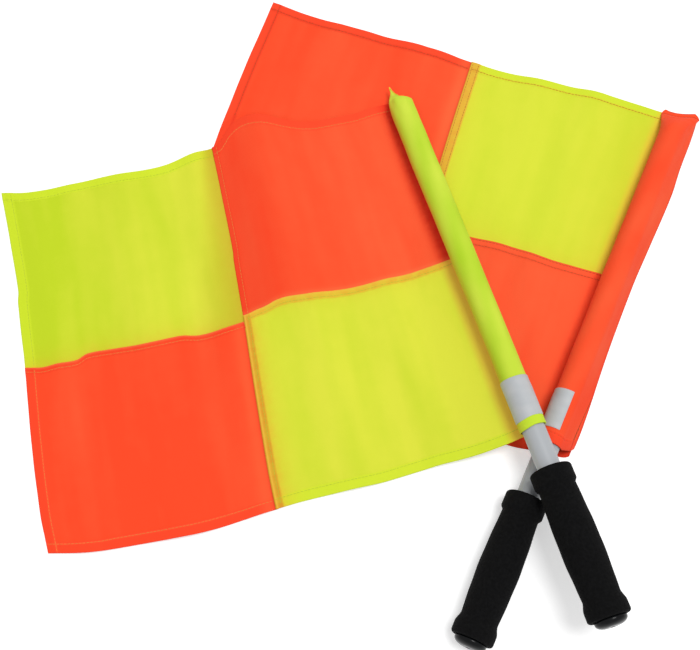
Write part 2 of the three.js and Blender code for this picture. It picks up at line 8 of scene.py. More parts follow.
import bpy
import numpy as np
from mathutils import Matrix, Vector

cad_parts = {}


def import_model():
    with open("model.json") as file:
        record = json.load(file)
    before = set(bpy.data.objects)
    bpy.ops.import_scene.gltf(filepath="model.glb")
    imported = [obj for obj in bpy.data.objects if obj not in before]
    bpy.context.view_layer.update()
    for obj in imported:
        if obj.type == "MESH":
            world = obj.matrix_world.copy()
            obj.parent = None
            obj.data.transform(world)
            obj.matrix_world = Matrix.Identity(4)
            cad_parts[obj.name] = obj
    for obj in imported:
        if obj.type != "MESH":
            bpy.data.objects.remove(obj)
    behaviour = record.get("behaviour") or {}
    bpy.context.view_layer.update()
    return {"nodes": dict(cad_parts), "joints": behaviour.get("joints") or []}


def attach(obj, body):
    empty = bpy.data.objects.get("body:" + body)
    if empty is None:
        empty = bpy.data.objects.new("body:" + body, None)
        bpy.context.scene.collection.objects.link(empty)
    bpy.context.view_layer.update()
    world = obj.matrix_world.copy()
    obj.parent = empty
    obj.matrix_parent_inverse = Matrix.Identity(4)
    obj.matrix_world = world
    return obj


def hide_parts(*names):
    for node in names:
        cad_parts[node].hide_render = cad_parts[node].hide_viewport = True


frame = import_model()

# Driving sizes of the cloth
FLY = 0.4
HOIST = 0.35
HALF_FLY = FLY / 2
HALF_HOIST = HOIST / 2
CLOTH = 0.0004
FLOOR_DROP = 0.0003

# Hems and felled seams: width, rise of the folded cloth, the run over which it falls to the single cloth,
# the flutter of the hems, and how far one cloth laps over and lies under the other
HEM = 0.0095
FOLD_RISE = 0.00045
SEAM_RISE = 0.0005
EDGE_ROUND = 0.0009
DOUBLED_RUN = 0.0012
FLUTTER = 0.0007
FLUTTER_WAVE = 0.045
FLUTTER_RUN = 0.028
LAP_OVER = 0.0004
LAP_UNDER = 0.002

# Stitching
THREAD = 0.00019
STITCH = 0.0029
STITCH_PITCH = 0.0032
STITCH_FROM_FOLD = 0.0013
HEM_ROW = HEM - STITCH_FROM_FOLD
STITCH_LINE = 0.0007
STITCH_GROOVE = 0.0002
HEM_GROOVE = 0.00022
PUCKER = 0.00026
PUCKER_LENGTH = 0.0068
# Each stitch: shares along it, with the thread's width and its rise there in threads
STITCH_PROFILE = (
    (0, 0.3, -0.6), (0.12, 0.85, 0.35), (0.35, 1, 0.75), (0.65, 1, 0.75), (0.88, 0.85, 0.35), (1, 0.3, -0.6),
)

# Soft waves of the cloth: length and half height of the broad and the fine ones
BROAD_WAVE = 0.09
BROAD_RISE = 0.0006
FINE_WAVE = 0.036
FINE_RISE = 0.00016

# The solids and the way the cloth lies round them, as in the model
SOLID_CLOTH = 0.0006
TOUCH_GAP = 0.0003
POLE = 0.01
TUBE_WALL = 0.0018
SLEEVE_OUTER = 0.0117
SLEEVE_LENGTH = 0.358
SLEEVE_TAIL = 0.022
REACH_RUN = 0.09
TAIL_COVER = 0.0015
TAIL_TUCK = 0.04
REST = SOLID_CLOTH + TOUCH_GAP
FLAT_MARGIN = 0.025
FOLD_FADE = 0.04
STEP_RUN = 0.025
FOLD_HEIGHT = 0.0036
FALL_STRETCH = 3

# The sleeves: their hem, the radius of the outer face, just inside the solid's, and the closed lip's height,
# press and groove, each with its run. The slant's run is in tip lengths.
SLEEVE_HEM = 0.0095
SLEEVE_FACE = SLEEVE_OUTER - 0.0002
LIP_HALF_HEIGHT = 0.0012
LIP_PRESS = 0.45
LIP_PRESS_RUN = 0.004
LIP_GROOVE = 0.2
LIP_GROOVE_RUN = 0.0009
SLANT_RUN = 1.3

# The lower sleeve's tail: the share of the way round that each flank takes, its lift at the back, and its
# seam, whose width is a share too. Then the corners by the mouth and the upper mouth's reach on its flank.
FLANK_SHARE = 0.25
TAIL_LIFT = 0.0009
TAIL_SEAM_WIDTH = 0.008
TAIL_SEAM_SHOWS = 0.265
TAIL_SEAM_RUN = 0.075
MOUTH_CORNER = 0.006
CLOTH_CORNER = 0.0033
CORNER_RUN = 0.03
CORNER_FADE = 0.003
FLANK_REACH = 0.0018

# The tab round each sleeve's foot
TAB_LENGTH = 0.037
TAB_WIDTH = 0.044
TAB = 0.0005

# The grip's outline, and the radius at which turned pieces close on their axis
GRIP = 0.126
COLLAR = 0.018
NECK = 0.01575
BELLY = 0.0175
INNER_COLLAR = 0.013
INNER_STEP = 0.004
OUTER_COLLAR = 0.009
OUTER_STEP = 0.009
COLLAR_ROUND = 0.0025
NEAR_AXIS = 0.0001

# Colours in linear light. Each cloth has a light and a deep tone, a hem tone, and the tone of a backed seam,
# which also paints shade beside the sleeve and by the seams. A dark and a pale tone paint shade and light at
# folded edges, seams and beside the sleeve, and also give the lines of thread and seams.
ORANGE_TONES = dict(
    light=(1.0, 0.116, 0.037),
    deep=(1.0, 0.069, 0.018),
    hem=(1.0, 0.062, 0.02),
    seam=(0.85, 0.02, 0.007),
    shade_and_dark_line=(0.55, 0.012, 0.007),
    light_and_pale_line=(1.0, 0.36, 0.12),
)
YELLOW_TONES = dict(
    light=(0.75, 0.785, 0.051),
    deep=(0.55, 0.7, 0.018),
    hem=(0.66, 0.82, 0.026),
    seam=(0.84, 0.34, 0.03),
    shade_and_dark_line=(0.41, 0.22, 0.004),
    light_and_pale_line=(1.0, 0.6, 0.075),
)
YELLOW_SLEEVE_TONES = dict(
    YELLOW_TONES,
    light=(0.66, 0.8, 0.066),
    deep=(0.47, 0.7, 0.026),
    hem=(0.6, 0.8, 0.035),
)
DARK_THREAD = (0.5, 0.1, 0.015)
ORANGE_THREAD = (0.95, 0.36, 0.07)
YELLOW_THREAD = (0.6, 0.76, 0.05)
GREY = (0.43, 0.45, 0.47)
FOAM = (0.003, 0.003, 0.0032)
GLOSS = (0.0022, 0.0024, 0.0028)

# The lower and the upper flag's sleeve, tab and closed tip
SLEEVES = dict(
    sleeve_start=(-0.01, -0.004),
    tab_from_foot=(0.013, 0.008),
    tab_middle=(math.radians(2), math.radians(90)),
    mouth_reach=(0.008, 0.002),
    sleeve_edge=(0.0136, 0.0095),
    sleeve_shade=(0.008, 0.013),
    girth=(0.103, 0.086),
    seam_width=(0.0076, 0.006),
    tip_length=(0.034, 0.016),
    tip_skew=(0, 0.00175),
    tip_left=(0.0155, 0.006),
    tip_right=(0.021, 0.0092),
    tip_lip=(0.0036, 0.002),
    tip_lift=(0.0024, 0.011),
    tip_slant_share=(0.27, -0.95),
    tip_slant_stays=(0, 0.22),
    tip_ease=(0.5, 0.72),
    tip_left_ease=(0.5, 1),
    tip_wave_stays=(0.35, 0.62),
)

# Each flag's curves, pairs of place and value in thousandths: of a metre for the tip's waves and the slack
# on the sleeve's two sides, and of the fly or the hoist for the rest. Corners, seams and folds are shares.
# What each panel shows: its depth of tone at its sleeve side and its fly side, then how far the cloth folded
# under its hoist seam, its fly seam and its hem shows through.
LOWER_SHAPE = dict(
    seam_rows=(0.0017, 0.0069),
    left_slack=((0, 0), (358, 0)),
    right_slack=((0, 0), (358, 0)),
    tip_waves=(
        (-21, 6.3), (-19.5, 3.2), (-16.5, 0), (-14.6, -1.2), (-10.2, 0), (-6.1, 1.9), (-2, 3.6), (1, 3.6),
        (5, 2.1), (8.4, 0.3), (12.5, -1.8), (14, -1), (15.5, 2.5),
    ),
    corner_shares=((-0.05, -0.017), (1.035, 0.105), (0.935, 1.125), (-0.055, 1.017)),
    tip_edge_shares=(
        (0, 0), (80, -8), (170, -9), (280, -4), (440, 8), (540, 5), (600, -1), (700, 6), (780, 5),
        (860, 9), (1000, -4),
    ),
    grip_edge_shares=((0, 0), (60, 2), (130, 12), (400, 10), (1000, 0)),
    fly_edge_shares=((0, 2), (200, 6), (500, 4), (1000, 0)),
    tail_shares=(
        (0, 930), (130, 930), (220, 1000), (400, 910), (500, 860), (700, 900), (900, 1040), (1000, 1030),
    ),
    middle_shares=((0, -6), (100, -10), (200, -6), (310, -10), (400, -4), (1000, 0)),
    hoist_seam_shares=(0.517, 0.46),
    fly_seam_shares=((0.517, 0.51), (0.51, 0.5)),
    fold_shares=(
        (0.2, -0.03, 0.045, 0.89), (0.33, -0.04, 0.05, 0.67), (0.66, -0.05, 0.055, 0.94),
        (0.85, -0.06, 0.05, 0.72),
    ),
    shows={
        "tip_sleeve": (0.3, 0, 0.95, 0, 0.35), "tip_fly": (0.5, 0.7, 0, 0, 0),
        "grip_sleeve": (0.05, 0.1, 0.1, 0.05, 0), "grip_fly": (0.2, 0.3, 0, 0.5, 0),
    },
)

UPPER_SHAPE = dict(
    seam_rows=(0.0048,),
    left_slack=(
        (12, 0.8), (19, 1.05), (26, 1.4), (33, 1.6), (47, 1.8), (54, 1.8), (61, 1.6), (74, 1.6),
        (88, 1.7), (101, 1.6), (115, 1.4), (128, 1.25), (142, 0.9), (182, 0.6), (209, 0.35), (244, 0),
        (358, 0),
    ),
    right_slack=(
        (0, -2.2), (10, -1.8), (15.5, -0.8), (23, -0.7), (45, -0.6), (90, -0.4), (130, -0.2), (170, 0),
        (358, 0),
    ),
    tip_waves=(
        (-9.2, 8), (-8.5, 7.4), (-4.5, 6.2), (-0.5, 4.4), (2.4, 3.4), (3.7, 1), (4.7, -1.8), (5.4, -1.2),
        (6, 2.2),
    ),
    corner_shares=((0.009, 0.026), (0.968, -0.046), (1.044, 0.936), (0.009, 1.022)),
    tip_edge_shares=(
        (0, -22), (60, -19), (120, -10), (180, -9), (240, -20), (290, -42), (340, -67), (385, -72),
        (420, -52), (460, -5.5), (520, 5), (640, 24), (800, 18), (930, 18), (1000, 0),
    ),
    grip_edge_shares=(
        (0, 2), (40, 7), (90, 10.5), (137, 11), (180, 10.5), (225, 12.8), (270, 16.3), (320, 19.5),
        (480, 19), (600, 30), (700, 38), (820, 30), (920, 21), (1000, 0),
    ),
    fly_edge_shares=(
        (0, 3), (150, -3), (305, -7.5), (335, -3.5), (500, -1), (700, 5), (900, 6), (1000, 0),
    ),
    tail_shares=None,
    middle_shares=(
        (0, 10), (150, 5), (240, 12), (300, 20), (360, 27), (420, 14), (465, 2), (500, 8), (560, 8),
        (610, 0), (650, -14), (740, -15.5), (800, -20), (860, -23.5), (885, -12.5), (930, -11), (965, -4),
        (1000, -5),
    ),
    hoist_seam_shares=(0.474, 0.533),
    fly_seam_shares=((0.49, 0.488), (0.504, 0.52)),
    fold_shares=(
        (0.16, 0.03, 0.04, 0.61), (0.33, 0.04, 0.05, 0.94), (0.52, 0.08, 0.035, 0.72),
        (0.7, 0.06, 0.06, 1), (0.9, 0.07, 0.045, 0.78),
    ),
    shows={
        "tip_sleeve": (0.1, 0.75, 0.2, 0, 0), "tip_fly": (0.15, 0.95, 0, 0, 0),
        "grip_sleeve": (0.05, 0.3, 1, 0.72, 0), "grip_fly": (0.9, 0.8, 0, 0.35, 0),
    },
)

# Each panel: whether it is on the fly side and on the grip side
PANELS = {
    "tip_sleeve": (False, False), "tip_fly": (True, False),
    "grip_sleeve": (False, True), "grip_fly": (True, True),
}
# Marks kept on each cloth piece: the hem; the tone; the backed seam's tint, which also paints shade; painted
# shade with dark lines; and painted light with pale lines
MARKS = ("hem", "tone", "seam", "shade_and_dark_line", "light_and_pale_line")


# Small helpers, all of which take arrays

def mix(start, end, share):
    return start + (end - start) * share


def smooth(value):
    t = np.clip(value, 0, 1)
    return t * t * (3 - 2 * t)


def bell(offset, width):
    return np.exp(-(offset / width) ** 2)


def fade(distance, run):
    return np.exp(-distance / run)


def rounded(share):
    """Share of the full height at a share of the way in over a rounded edge."""
    return np.sqrt(1 - (1 - np.clip(share, 0.02, 1)) ** 2)


def spaced(near, length, count):
    """Distances from 0 to a length: the given ones from both ends and even steps between."""
    middle = np.linspace(near[-1], length - near[-1], count)
    return np.concatenate([near, middle[1:-1], (length - near)[::-1]])


def along(pairs, place):
    """A smooth curve through pairs of place and value in thousandths, as in the model."""
    places, values = np.array(pairs, float).T / 1000
    count = len(places)
    before = np.maximum(np.arange(count) - 1, 0)
    after = np.minimum(np.arange(count) + 1, count - 1)
    slopes = (values[after] - values[before]) / (places[after] - places[before])
    i = np.clip(np.searchsorted(places, place) - 1, 0, count - 2)
    span = places[i + 1] - places[i]
    t = np.clip((place - places[i]) / span, 0, 1)
    t2, t3 = t * t, t * t * t
    return ((2 * t3 - 3 * t2 + 1) * values[i] + (t3 - 2 * t2 + t) * span * slopes[i]
            + (3 * t2 - 2 * t3) * values[i + 1] + (t3 - t2) * span * slopes[i + 1])


def ripples(x, y, seed, wavelength, spread=1.0, count=7):
    """Smooth irregular waves between about -1 and 1. Spread 0 makes them all run across x."""
    draw = np.random.default_rng(seed)
    total = np.zeros(np.broadcast(x, y).shape)
    for _ in range(count):
        turn = draw.uniform(-1, 1) * spread * math.pi / 2
        stretch = draw.uniform(0.6, 1.5)
        shift = draw.uniform(0, 2 * math.pi)
        step = 2 * math.pi * stretch / wavelength
        total = total + np.sin(step * (x * math.cos(turn) + y * math.sin(turn)) + shift)
    return total / math.sqrt(2 * count)


class Flag:
    """One flag's place, read from its pole's hinge, and its shape."""

    def __init__(self, name, shape):
        joint = next(j for j in frame["joints"] if j["name"] == name + "_pole_turn")
        axis = np.array(joint["axis"], float)
        self.name = name
        self.axis = axis / np.linalg.norm(axis)
        run = math.hypot(self.axis[0], self.axis[1])
        self.start = np.array(joint["pos_m"], float)
        self.down = self.axis[:2] / run
        self.across = np.array([self.down[1], -self.down[0]])
        self.slope = self.axis[2] / run
        self.side = np.array([*self.across, 0.0])
        self.up = np.cross(self.side, self.axis)
        self.__dict__.update(shape)
        self.__dict__.update({key: pair[name == "upper"] for key, pair in SLEEVES.items()})
        self.foot = self.sleeve_start + SLEEVE_LENGTH

    def node(self, part):
        return f"{self.name}_{part}"

    def axis_height(self, y):
        return self.start[2] + self.slope * y

    def to_row(self, x, y, z):
        plan = self.start[:2] + x[..., None] * self.across + y[..., None] * self.down
        return np.concatenate([plan, z[..., None]], axis=-1)

    def from_row(self, points):
        offset = points[..., :2] - self.start[:2]
        return offset @ self.across, offset @ self.down

    def span(self, part):
        """Where a turned node starts and ends along the pole's axis."""
        corners = np.array([v.co for v in frame["nodes"][self.node(part)].data.vertices])
        places = (corners - self.start) @ self.axis
        return places.min(), places.max()


LOWER = Flag("lower", LOWER_SHAPE)
UPPER = Flag("upper", UPPER_SHAPE)


# Where the cloth lies

def cloth_plan(flag, fly, hoist):
    """Place in the flag's frame at a share of the fly and of the hoist."""
    tip_sleeve, tip_fly, grip_fly, grip_sleeve = np.array(flag.corner_shares)

    def corner(axis):
        tip = mix(tip_sleeve[axis], tip_fly[axis], fly)
        grip = mix(grip_sleeve[axis], grip_fly[axis], fly)
        return mix(tip, grip, hoist)

    bow = (along(flag.tip_edge_shares, fly) * (1 - hoist) + along(flag.grip_edge_shares, fly) * hoist
           + along(flag.middle_shares, fly) * 4 * hoist * (1 - hoist))
    fly_bow = along(flag.fly_edge_shares, hoist) * fly
    x, y = FLY * (corner(0) + fly_bow), HOIST * (corner(1) + bow)
    if flag.tail_shares is not None:
        edge = FLY * mix(tip_sleeve[0], grip_sleeve[0], hoist)
        inside_tail = TAIL_COVER - SLEEVE_TAIL * along(flag.tail_shares, hoist)
        x = x + np.maximum(inside_tail - edge, 0) * (1 - smooth(FLY * fly / TAIL_TUCK))
        by_corner = smooth((HOIST * (hoist - 1) + CORNER_RUN) / CORNER_RUN)
        y = y - CLOTH_CORNER * by_corner * fade(FLY * fly, CORNER_FADE)
    return x, y


def fold_height(flag, x, y):
    total = 0
    for at_share, lean_share, width_share, rise_share in flag.fold_shares:
        middle = FLY * (at_share + lean_share * y / HOIST)
        total = total + FOLD_HEIGHT * rise_share * bell(x - middle, FLY * width_share)
    return total


def drape(flag, x, y):
    """Soft waves on top of the folds, which mostly run down the hoist."""
    seed = len(flag.fold_shares)
    broad = ripples(x, y, seed, BROAD_WAVE, spread=0.22)
    fine = ripples(x, y, seed + 10, FINE_WAVE, spread=0.35)
    return BROAD_RISE * (1 + broad) + FINE_RISE * (1 + fine)


def upper_outside(x, y):
    """Distance from a place in the upper flag's frame out of its cloth, past the tip edge or the sleeve."""
    fly = np.clip(x / FLY, 0, 1)
    edge = cloth_plan(UPPER, fly, np.zeros_like(fly))[1]
    return np.maximum(edge - y, -SLEEVE_OUTER - x)


def lower_underside(x, y):
    upper_x, upper_y = UPPER.from_row(LOWER.to_row(x, y, np.zeros_like(x)))
    outside = np.maximum(-FLAT_MARGIN - upper_x, -FLAT_MARGIN - upper_y)
    clear = smooth((x - SLEEVE_OUTER) / FOLD_FADE)
    bare = 1 - covered(x, y)
    folds = fold_height(LOWER, x, y) * smooth(outside / FOLD_FADE) * clear
    return folds + drape(LOWER, x, y) * bare * clear


def covered(x, y):
    """1 where the lower cloth lies under the upper one, 0 a little outside it."""
    upper_x, upper_y = UPPER.from_row(LOWER.to_row(x, y, np.zeros_like(x)))
    margin, run = 0.001, 0.006
    return 1 - smooth((upper_outside(upper_x, upper_y) - margin) / run)


def outside_lower(x, y):
    """Distance outside the lower cloth's four corners, negative inside."""
    corners = [np.array([FLY * a, HOIST * b]) for a, b in LOWER.corner_shares]
    outside = np.full(x.shape, -np.inf)
    for i, corner in enumerate(corners):
        edge = corners[(i + 1) % len(corners)] - corner
        edge = edge / np.linalg.norm(edge)
        outside = np.maximum(outside, (x - corner[0]) * edge[1] - (y - corner[1]) * edge[0])
    return outside


def upper_underside(x, y):
    lower_x, lower_y = LOWER.from_row(UPPER.to_row(x, y, np.zeros_like(x)))
    on_floor = smooth((outside_lower(lower_x, lower_y) - SOLID_CLOTH) / STEP_RUN)
    support = mix(REST, 0, on_floor)
    hang = np.maximum(0, UPPER.axis_height(y) - SLEEVE_OUTER - REST - support)
    seam_place = FLY * UPPER.corner_shares[0][0]
    away = np.clip((x - seam_place) / (SLEEVE_OUTER + FALL_STRETCH * hang), 0, 1)
    clear = smooth((x - SLEEVE_OUTER) / FOLD_FADE)
    folds = (fold_height(UPPER, x, y) + drape(UPPER, x, y)) * clear
    return support + folds + hang * (1 - away) * (1 - away)


# Meshes

def placed(name, data):
    thing = bpy.data.objects.new(name, data)
    bpy.context.scene.collection.objects.link(thing)
    return thing


def mesh_piece(flag, body, name, vertices, faces, material, attributes=(), node=None):
    """A smooth piece of a flag that rides on its cloth or pole, and takes a node's place if one is given."""
    mesh = bpy.data.meshes.new(flag.node(name))
    mesh.from_pydata(vertices.tolist(), [], faces)
    mesh.shade_smooth()
    for label, values in attributes:
        kind, key = ("FLOAT", "value") if values.ndim == 1 else ("FLOAT_VECTOR", "vector")
        mesh.attributes.new(label, kind, "POINT").data.foreach_set(key, values.astype(np.float32).ravel())
    mesh.materials.append(material)
    piece = placed(flag.node(name), mesh)
    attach(piece, flag.node(body))
    if node:
        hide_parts(flag.node(node))
    return piece


def grid_faces(rows, columns, start=0, flip=False, closed=False):
    """Faces of a grid of points in rows. A closed grid joins each row's last point to its first."""
    grid = start + np.arange(rows * columns).reshape(rows, columns)
    if closed:
        grid = np.concatenate([grid, grid[:, :1]], axis=1)
    quads = np.stack([grid[:-1, :-1], grid[:-1, 1:], grid[1:, 1:], grid[1:, :-1]], axis=-1).reshape(-1, 4)
    return (quads[:, ::-1] if flip else quads).tolist()


def rim_faces(rows, columns, offset):
    """Faces that close the edge between a lower grid and an upper grid of points."""
    grid = np.arange(rows * columns).reshape(rows, columns)
    loop = np.concatenate([grid[0], grid[1:, -1], grid[-1, -2::-1], grid[-2:0:-1, 0]]).tolist()
    return [(a, b, b + offset, a + offset) for a, b in zip(loop, loop[1:] + loop[:1])]


def two_sided(flag, name, node, under, top, flat, marks, material):
    """A thin piece of a flag's cloth between two grids of points, closed round its edge."""
    rows, columns = under.shape[:2]
    count = rows * columns
    vertices = np.concatenate([under.reshape(-1, 3), top.reshape(-1, 3)])
    faces = grid_faces(rows, columns) + grid_faces(rows, columns, count, flip=True)
    faces += rim_faces(rows, columns, count)
    places = np.stack([*flat, flat[0] * 0], axis=-1).reshape(-1, 3)
    attributes = [("flat", np.tile(places, (2, 1)))]
    attributes += [(label, np.tile(marks[label].ravel(), 2)) for label in marks]
    return mesh_piece(flag, "cloth", name, vertices, faces, material, attributes, node)


def stitches(flag, name, lines, material):
    """Rows of stitches along lines of surface points, each a short round thread that dips at its ends."""
    sides = 6
    turns = 2 * math.pi * np.arange(sides)[:, None] / sides
    shares, widths, rises = np.array(STITCH_PROFILE).T
    widths, rises = widths[:, None, None], rises[:, None, None]
    vertices, faces = [], []
    for line in lines:
        steps = np.linalg.norm(np.diff(line[0], axis=0), axis=1)
        places = np.concatenate([[0], np.cumsum(steps)])
        at = STITCH_PITCH * np.arange(int(places[-1] / STITCH_PITCH))[:, None] + STITCH * shares
        centre, up = (np.stack([np.interp(at, places, values[:, axis]) for axis in range(3)], axis=-1)
                      for values in line)
        side = np.cross(up, centre[:, -1:] - centre[:, :1])
        side, up = ((way / np.linalg.norm(way, axis=-1, keepdims=True))[:, :, None] for way in (side, up))
        out = side * np.cos(turns) + up * np.sin(turns)
        vertices.append(centre[:, :, None] + THREAD * (rises * up + widths * out))
    vertices = np.concatenate(vertices).reshape(-1, 3)
    count = len(shares) * sides
    for start in range(0, len(vertices), count):
        end = start + count
        faces += grid_faces(len(shares), sides, start, closed=True)
        faces += [tuple(range(start, start + sides))[::-1], tuple(range(end - sides, end))]
    return mesh_piece(flag, "cloth", name, vertices, faces, material)


# Cloth panels

def puckers(distance, run, stitch, reach, beat):
    """Rise of the small puckers along a row of stitches."""
    wave = 1 + np.sin(2 * math.pi * run / PUCKER_LENGTH + 2 * np.sin(run * beat))
    return PUCKER * wave * bell(distance - stitch, reach)


def hem_at(distance, run):
    """Lift, rise and doubling of a hem at a distance from its fold."""
    turned_in = HEM - DOUBLED_RUN / 3
    doubled = 1 - smooth((distance - turned_in) / DOUBLED_RUN)
    flutter = FLUTTER * (1 + ripples(run, run * 0, 3, FLUTTER_WAVE)) * (1 - smooth(distance / FLUTTER_RUN))
    lift = puckers(distance, run, HEM_ROW, reach=0.0045, beat=55) + flutter
    return lift, FOLD_RISE * doubled - HEM_GROOVE * bell(distance - HEM_ROW, STITCH_LINE), doubled


def lap_at(flag, distance, run):
    """Lift, rise and doubling of a seam's upper cloth at a distance from its folded edge."""
    doubled = 1 - smooth((distance - flag.seam_width) / DOUBLED_RUN)
    lift = SEAM_RISE * doubled + puckers(distance, run, flag.seam_width, reach=0.005, beat=47)
    return lift, -STITCH_GROOVE * sum(bell(distance - row, STITCH_LINE) for row in flag.seam_rows), doubled


def marks_at(flag, part, c, r, x, hem, hoist_lap, fly_lap):
    """How far each mark of MARKS shows on a panel. Each show line says its strength and where, in metres."""
    fly_side, grip_side = PANELS[part]
    upper, lower = flag is UPPER, flag is LOWER
    yellow = (fly_side == grip_side) == lower
    marks = {label: np.zeros_like(c) for label in MARKS}
    near_tone, far_tone, hoist_shows, fly_shows, hem_shows = flag.shows[part]
    marks["tone"] = mix(near_tone, far_tone, smooth(c / HALF_FLY))

    def show(label, strength, share):
        marks[label] = np.maximum(marks[label], strength * share)

    # Hems and seams: painted shade and painted light along their folded edges, and beside each seam a warm
    # tint, partly the other cloth under it and partly painted shade and painted reflection
    from_hoist_seam = c if fly_side else HALF_FLY + LAP_OVER - c
    from_fly_seam = r + LAP_OVER if grip_side else HALF_HOIST - r
    past_hoist = np.maximum(from_hoist_seam - flag.seam_width, 0)
    past_fly = np.maximum(from_fly_seam - flag.seam_width, 0)
    show("hem", 1, hem)
    show("hem", hem_shows, 1)
    show("seam", hoist_shows, hoist_lap)
    show("seam", fly_shows, fly_lap)
    if fly_side:
        show("shade_and_dark_line", 0.5, bell(from_hoist_seam, 0.0016))
        show("seam", 0.42 * yellow, fade(from_hoist_seam, 0.009))
        show("light_and_pale_line", 0.1 * (not yellow), bell(from_hoist_seam - 0.006, 0.006))
    else:
        edge = 0.45 * bell(from_hoist_seam, 0.0008)
        show("shade_and_dark_line", 1, edge + 0.25 * hoist_shows * bell(past_hoist, 0.001) * hoist_lap)
        show("seam", (0.6 if upper else 0.2) * hoist_shows * yellow, fade(past_hoist, 0.0065))
        show("light_and_pale_line", 0.5 * hoist_shows * yellow, bell(from_hoist_seam - 0.0016, 0.0009))
        show("light_and_pale_line", 0.35 * (yellow and lower), hoist_lap)
    if upper and part == "grip_fly":
        show("light_and_pale_line", 0.25, bell(from_fly_seam - 0.0005, 0.0013))
    elif grip_side:
        show("shade_and_dark_line", 0.3, bell(from_fly_seam, 0.0008))
    elif yellow:
        show("seam", 0.38 if upper else 0.2, fade(from_fly_seam, 0.008))
    else:
        show("light_and_pale_line", 0.16, bell(from_fly_seam, 0.0035))
    if grip_side and yellow:
        show("seam", 0.25 * fly_shows, fade(past_fly, 0.005))
        show("light_and_pale_line", 0.5, bell(from_fly_seam, 0.0016))

    # Painted shadow, with its tint, and painted light that the sleeve and the crossing of the seams give to
    # the cloth beside them
    sleeve_shadow_share = 1 - smooth((x - flag.sleeve_edge) / flag.sleeve_shade)
    if yellow:
        show("seam", 0.3, bell(np.hypot(from_hoist_seam, from_fly_seam), 0.02))
        show("seam", 0.2, sleeve_shadow_share)
        show("light_and_pale_line", 0.9 if upper else 0.35, sleeve_shadow_share)
    elif upper:
        show("seam", 0.9, 1 - smooth((x - flag.sleeve_edge) / 0.017))
        show("shade_and_dark_line", 0.2, sleeve_shadow_share ** 2)
    else:
        show("seam", 0.35, sleeve_shadow_share)
        # Painted shade where the lower cloth lies under its sleeve's tail, near the mouth
        show("shade_and_dark_line", 0.4, (x < -0.01) * smooth((r - HALF_HOIST + 0.02) / 0.01) * grip_side)

    # Rows of stitches
    from_edge = HALF_HOIST - r if grip_side else r
    thread = STITCH_LINE if upper or yellow else 0.0012
    row = np.maximum(bell(HALF_FLY - c - HEM_ROW, thread) * fly_side, bell(from_edge - HEM_ROW, thread))
    row = np.maximum(row, bell(from_fly_seam - flag.seam_rows[-1], STITCH_LINE) * grip_side)
    if upper:
        show("light_and_pale_line", 0.04 if yellow else 0.12, row)
    elif yellow:
        show("seam", 0.6, row)
    else:
        show("shade_and_dark_line", 0.3, row)

    # Shade of the upper cloth's dips on either side of its hoist seam
    if upper and part == "tip_fly":
        show("shade_and_dark_line", 0.36, 1 - smooth((from_hoist_seam - 0.004) / (0.009 + 0.24 * r)))
    elif upper and part == "tip_sleeve":
        show("shade_and_dark_line", 0.2, 1 - smooth((from_hoist_seam - 0.012) / 0.05))
    return marks


def panel_at(flag, part, c, r):
    """Underside, top and marks of a panel, at distances c from its sleeve side and r from its tip side."""
    fly_side, grip_side = PANELS[part]
    across, down = c / HALF_FLY, r / HALF_HOIST
    fly_seam = mix(*flag.fly_seam_shares[int(fly_side)], np.clip(across, 0, 1))
    hoist = fly_seam + (1 - fly_seam) * down if grip_side else fly_seam * down
    hoist_seam = mix(*flag.hoist_seam_shares, hoist)
    fly = hoist_seam + (1 - hoist_seam) * across if fly_side else hoist_seam * across
    x, y = cloth_plan(flag, fly, hoist)
    base = lower_underside(x, y) if flag is LOWER else upper_underside(x, y)

    edges = [("hem", HALF_FLY - c, r)] if fly_side else []
    edges.append(("hem", HALF_HOIST - r, c) if grip_side else ("hem", r, c))
    if not fly_side:
        edges.append(("hoist", HALF_FLY + LAP_OVER - c, r))
    if grip_side:
        edges.append(("fly", r + LAP_OVER, c))
    lift, rise, inside = 0, 0, np.full_like(c, 1.0)
    doubled = {kind: np.zeros_like(c) for kind in ("hem", "hoist", "fly")}
    for kind, distance, run in edges:
        found = hem_at(distance, run) if kind == "hem" else lap_at(flag, distance, run)
        lift, rise = lift + found[0], rise + found[1]
        doubled[kind] = np.maximum(doubled[kind], found[2])
        inside = np.minimum(inside, distance / EDGE_ROUND)
    if flag is LOWER:
        bare = 1 - covered(x, y)
        lift, rise = lift * bare, rise * bare
    base = base + lift * smooth((x - SLEEVE_OUTER / 2) / SLEEVE_OUTER)
    top = base + (CLOTH + np.maximum(rise, 0)) * rounded(inside) + np.minimum(rise, 0)
    return flag.to_row(x, y, base), flag.to_row(x, y, top), marks_at(flag, part, c, r, x, *doubled.values())


def panel_steps(start, end):
    """Distances from start to end, close by both edges and about 2.5 mm apart between."""
    near = np.concatenate([[0, 0.0002, 0.0005, 0.0009], np.arange(0.0016, 0.0128, 0.0008)])
    return start + spaced(near, end - start, round((end - start) / 0.0025))


def cloth_panel(flag, part, material):
    fly_side, grip_side = PANELS[part]
    columns = (-LAP_UNDER, HALF_FLY) if fly_side else (0, HALF_FLY + LAP_OVER)
    rows = (-LAP_OVER, HALF_HOIST) if grip_side else (0, HALF_HOIST + LAP_UNDER)
    c, r = np.meshgrid(panel_steps(*columns), panel_steps(*rows))
    under, top, marks = panel_at(flag, part, c, r)
    flat = (c + HALF_FLY * fly_side, r + HALF_HOIST * grip_side)
    return two_sided(flag, "cloth_" + part, "panel_" + part, under, top, flat, marks, material)


def panel_line(flag, part, c, r):
    """A line of points on a panel's top, with normals, for stitches. What the other cloth hides is cut."""
    c, r = np.broadcast_arrays(np.asarray(c, float), np.asarray(r, float))
    _, top, _ = panel_at(flag, part, c, r)
    if flag is LOWER:
        x, y = LOWER.from_row(top)
        top = top[covered(x, y) < 0.5]
    return top, np.tile([0.0, 0.0, 1.0], (len(top), 1))


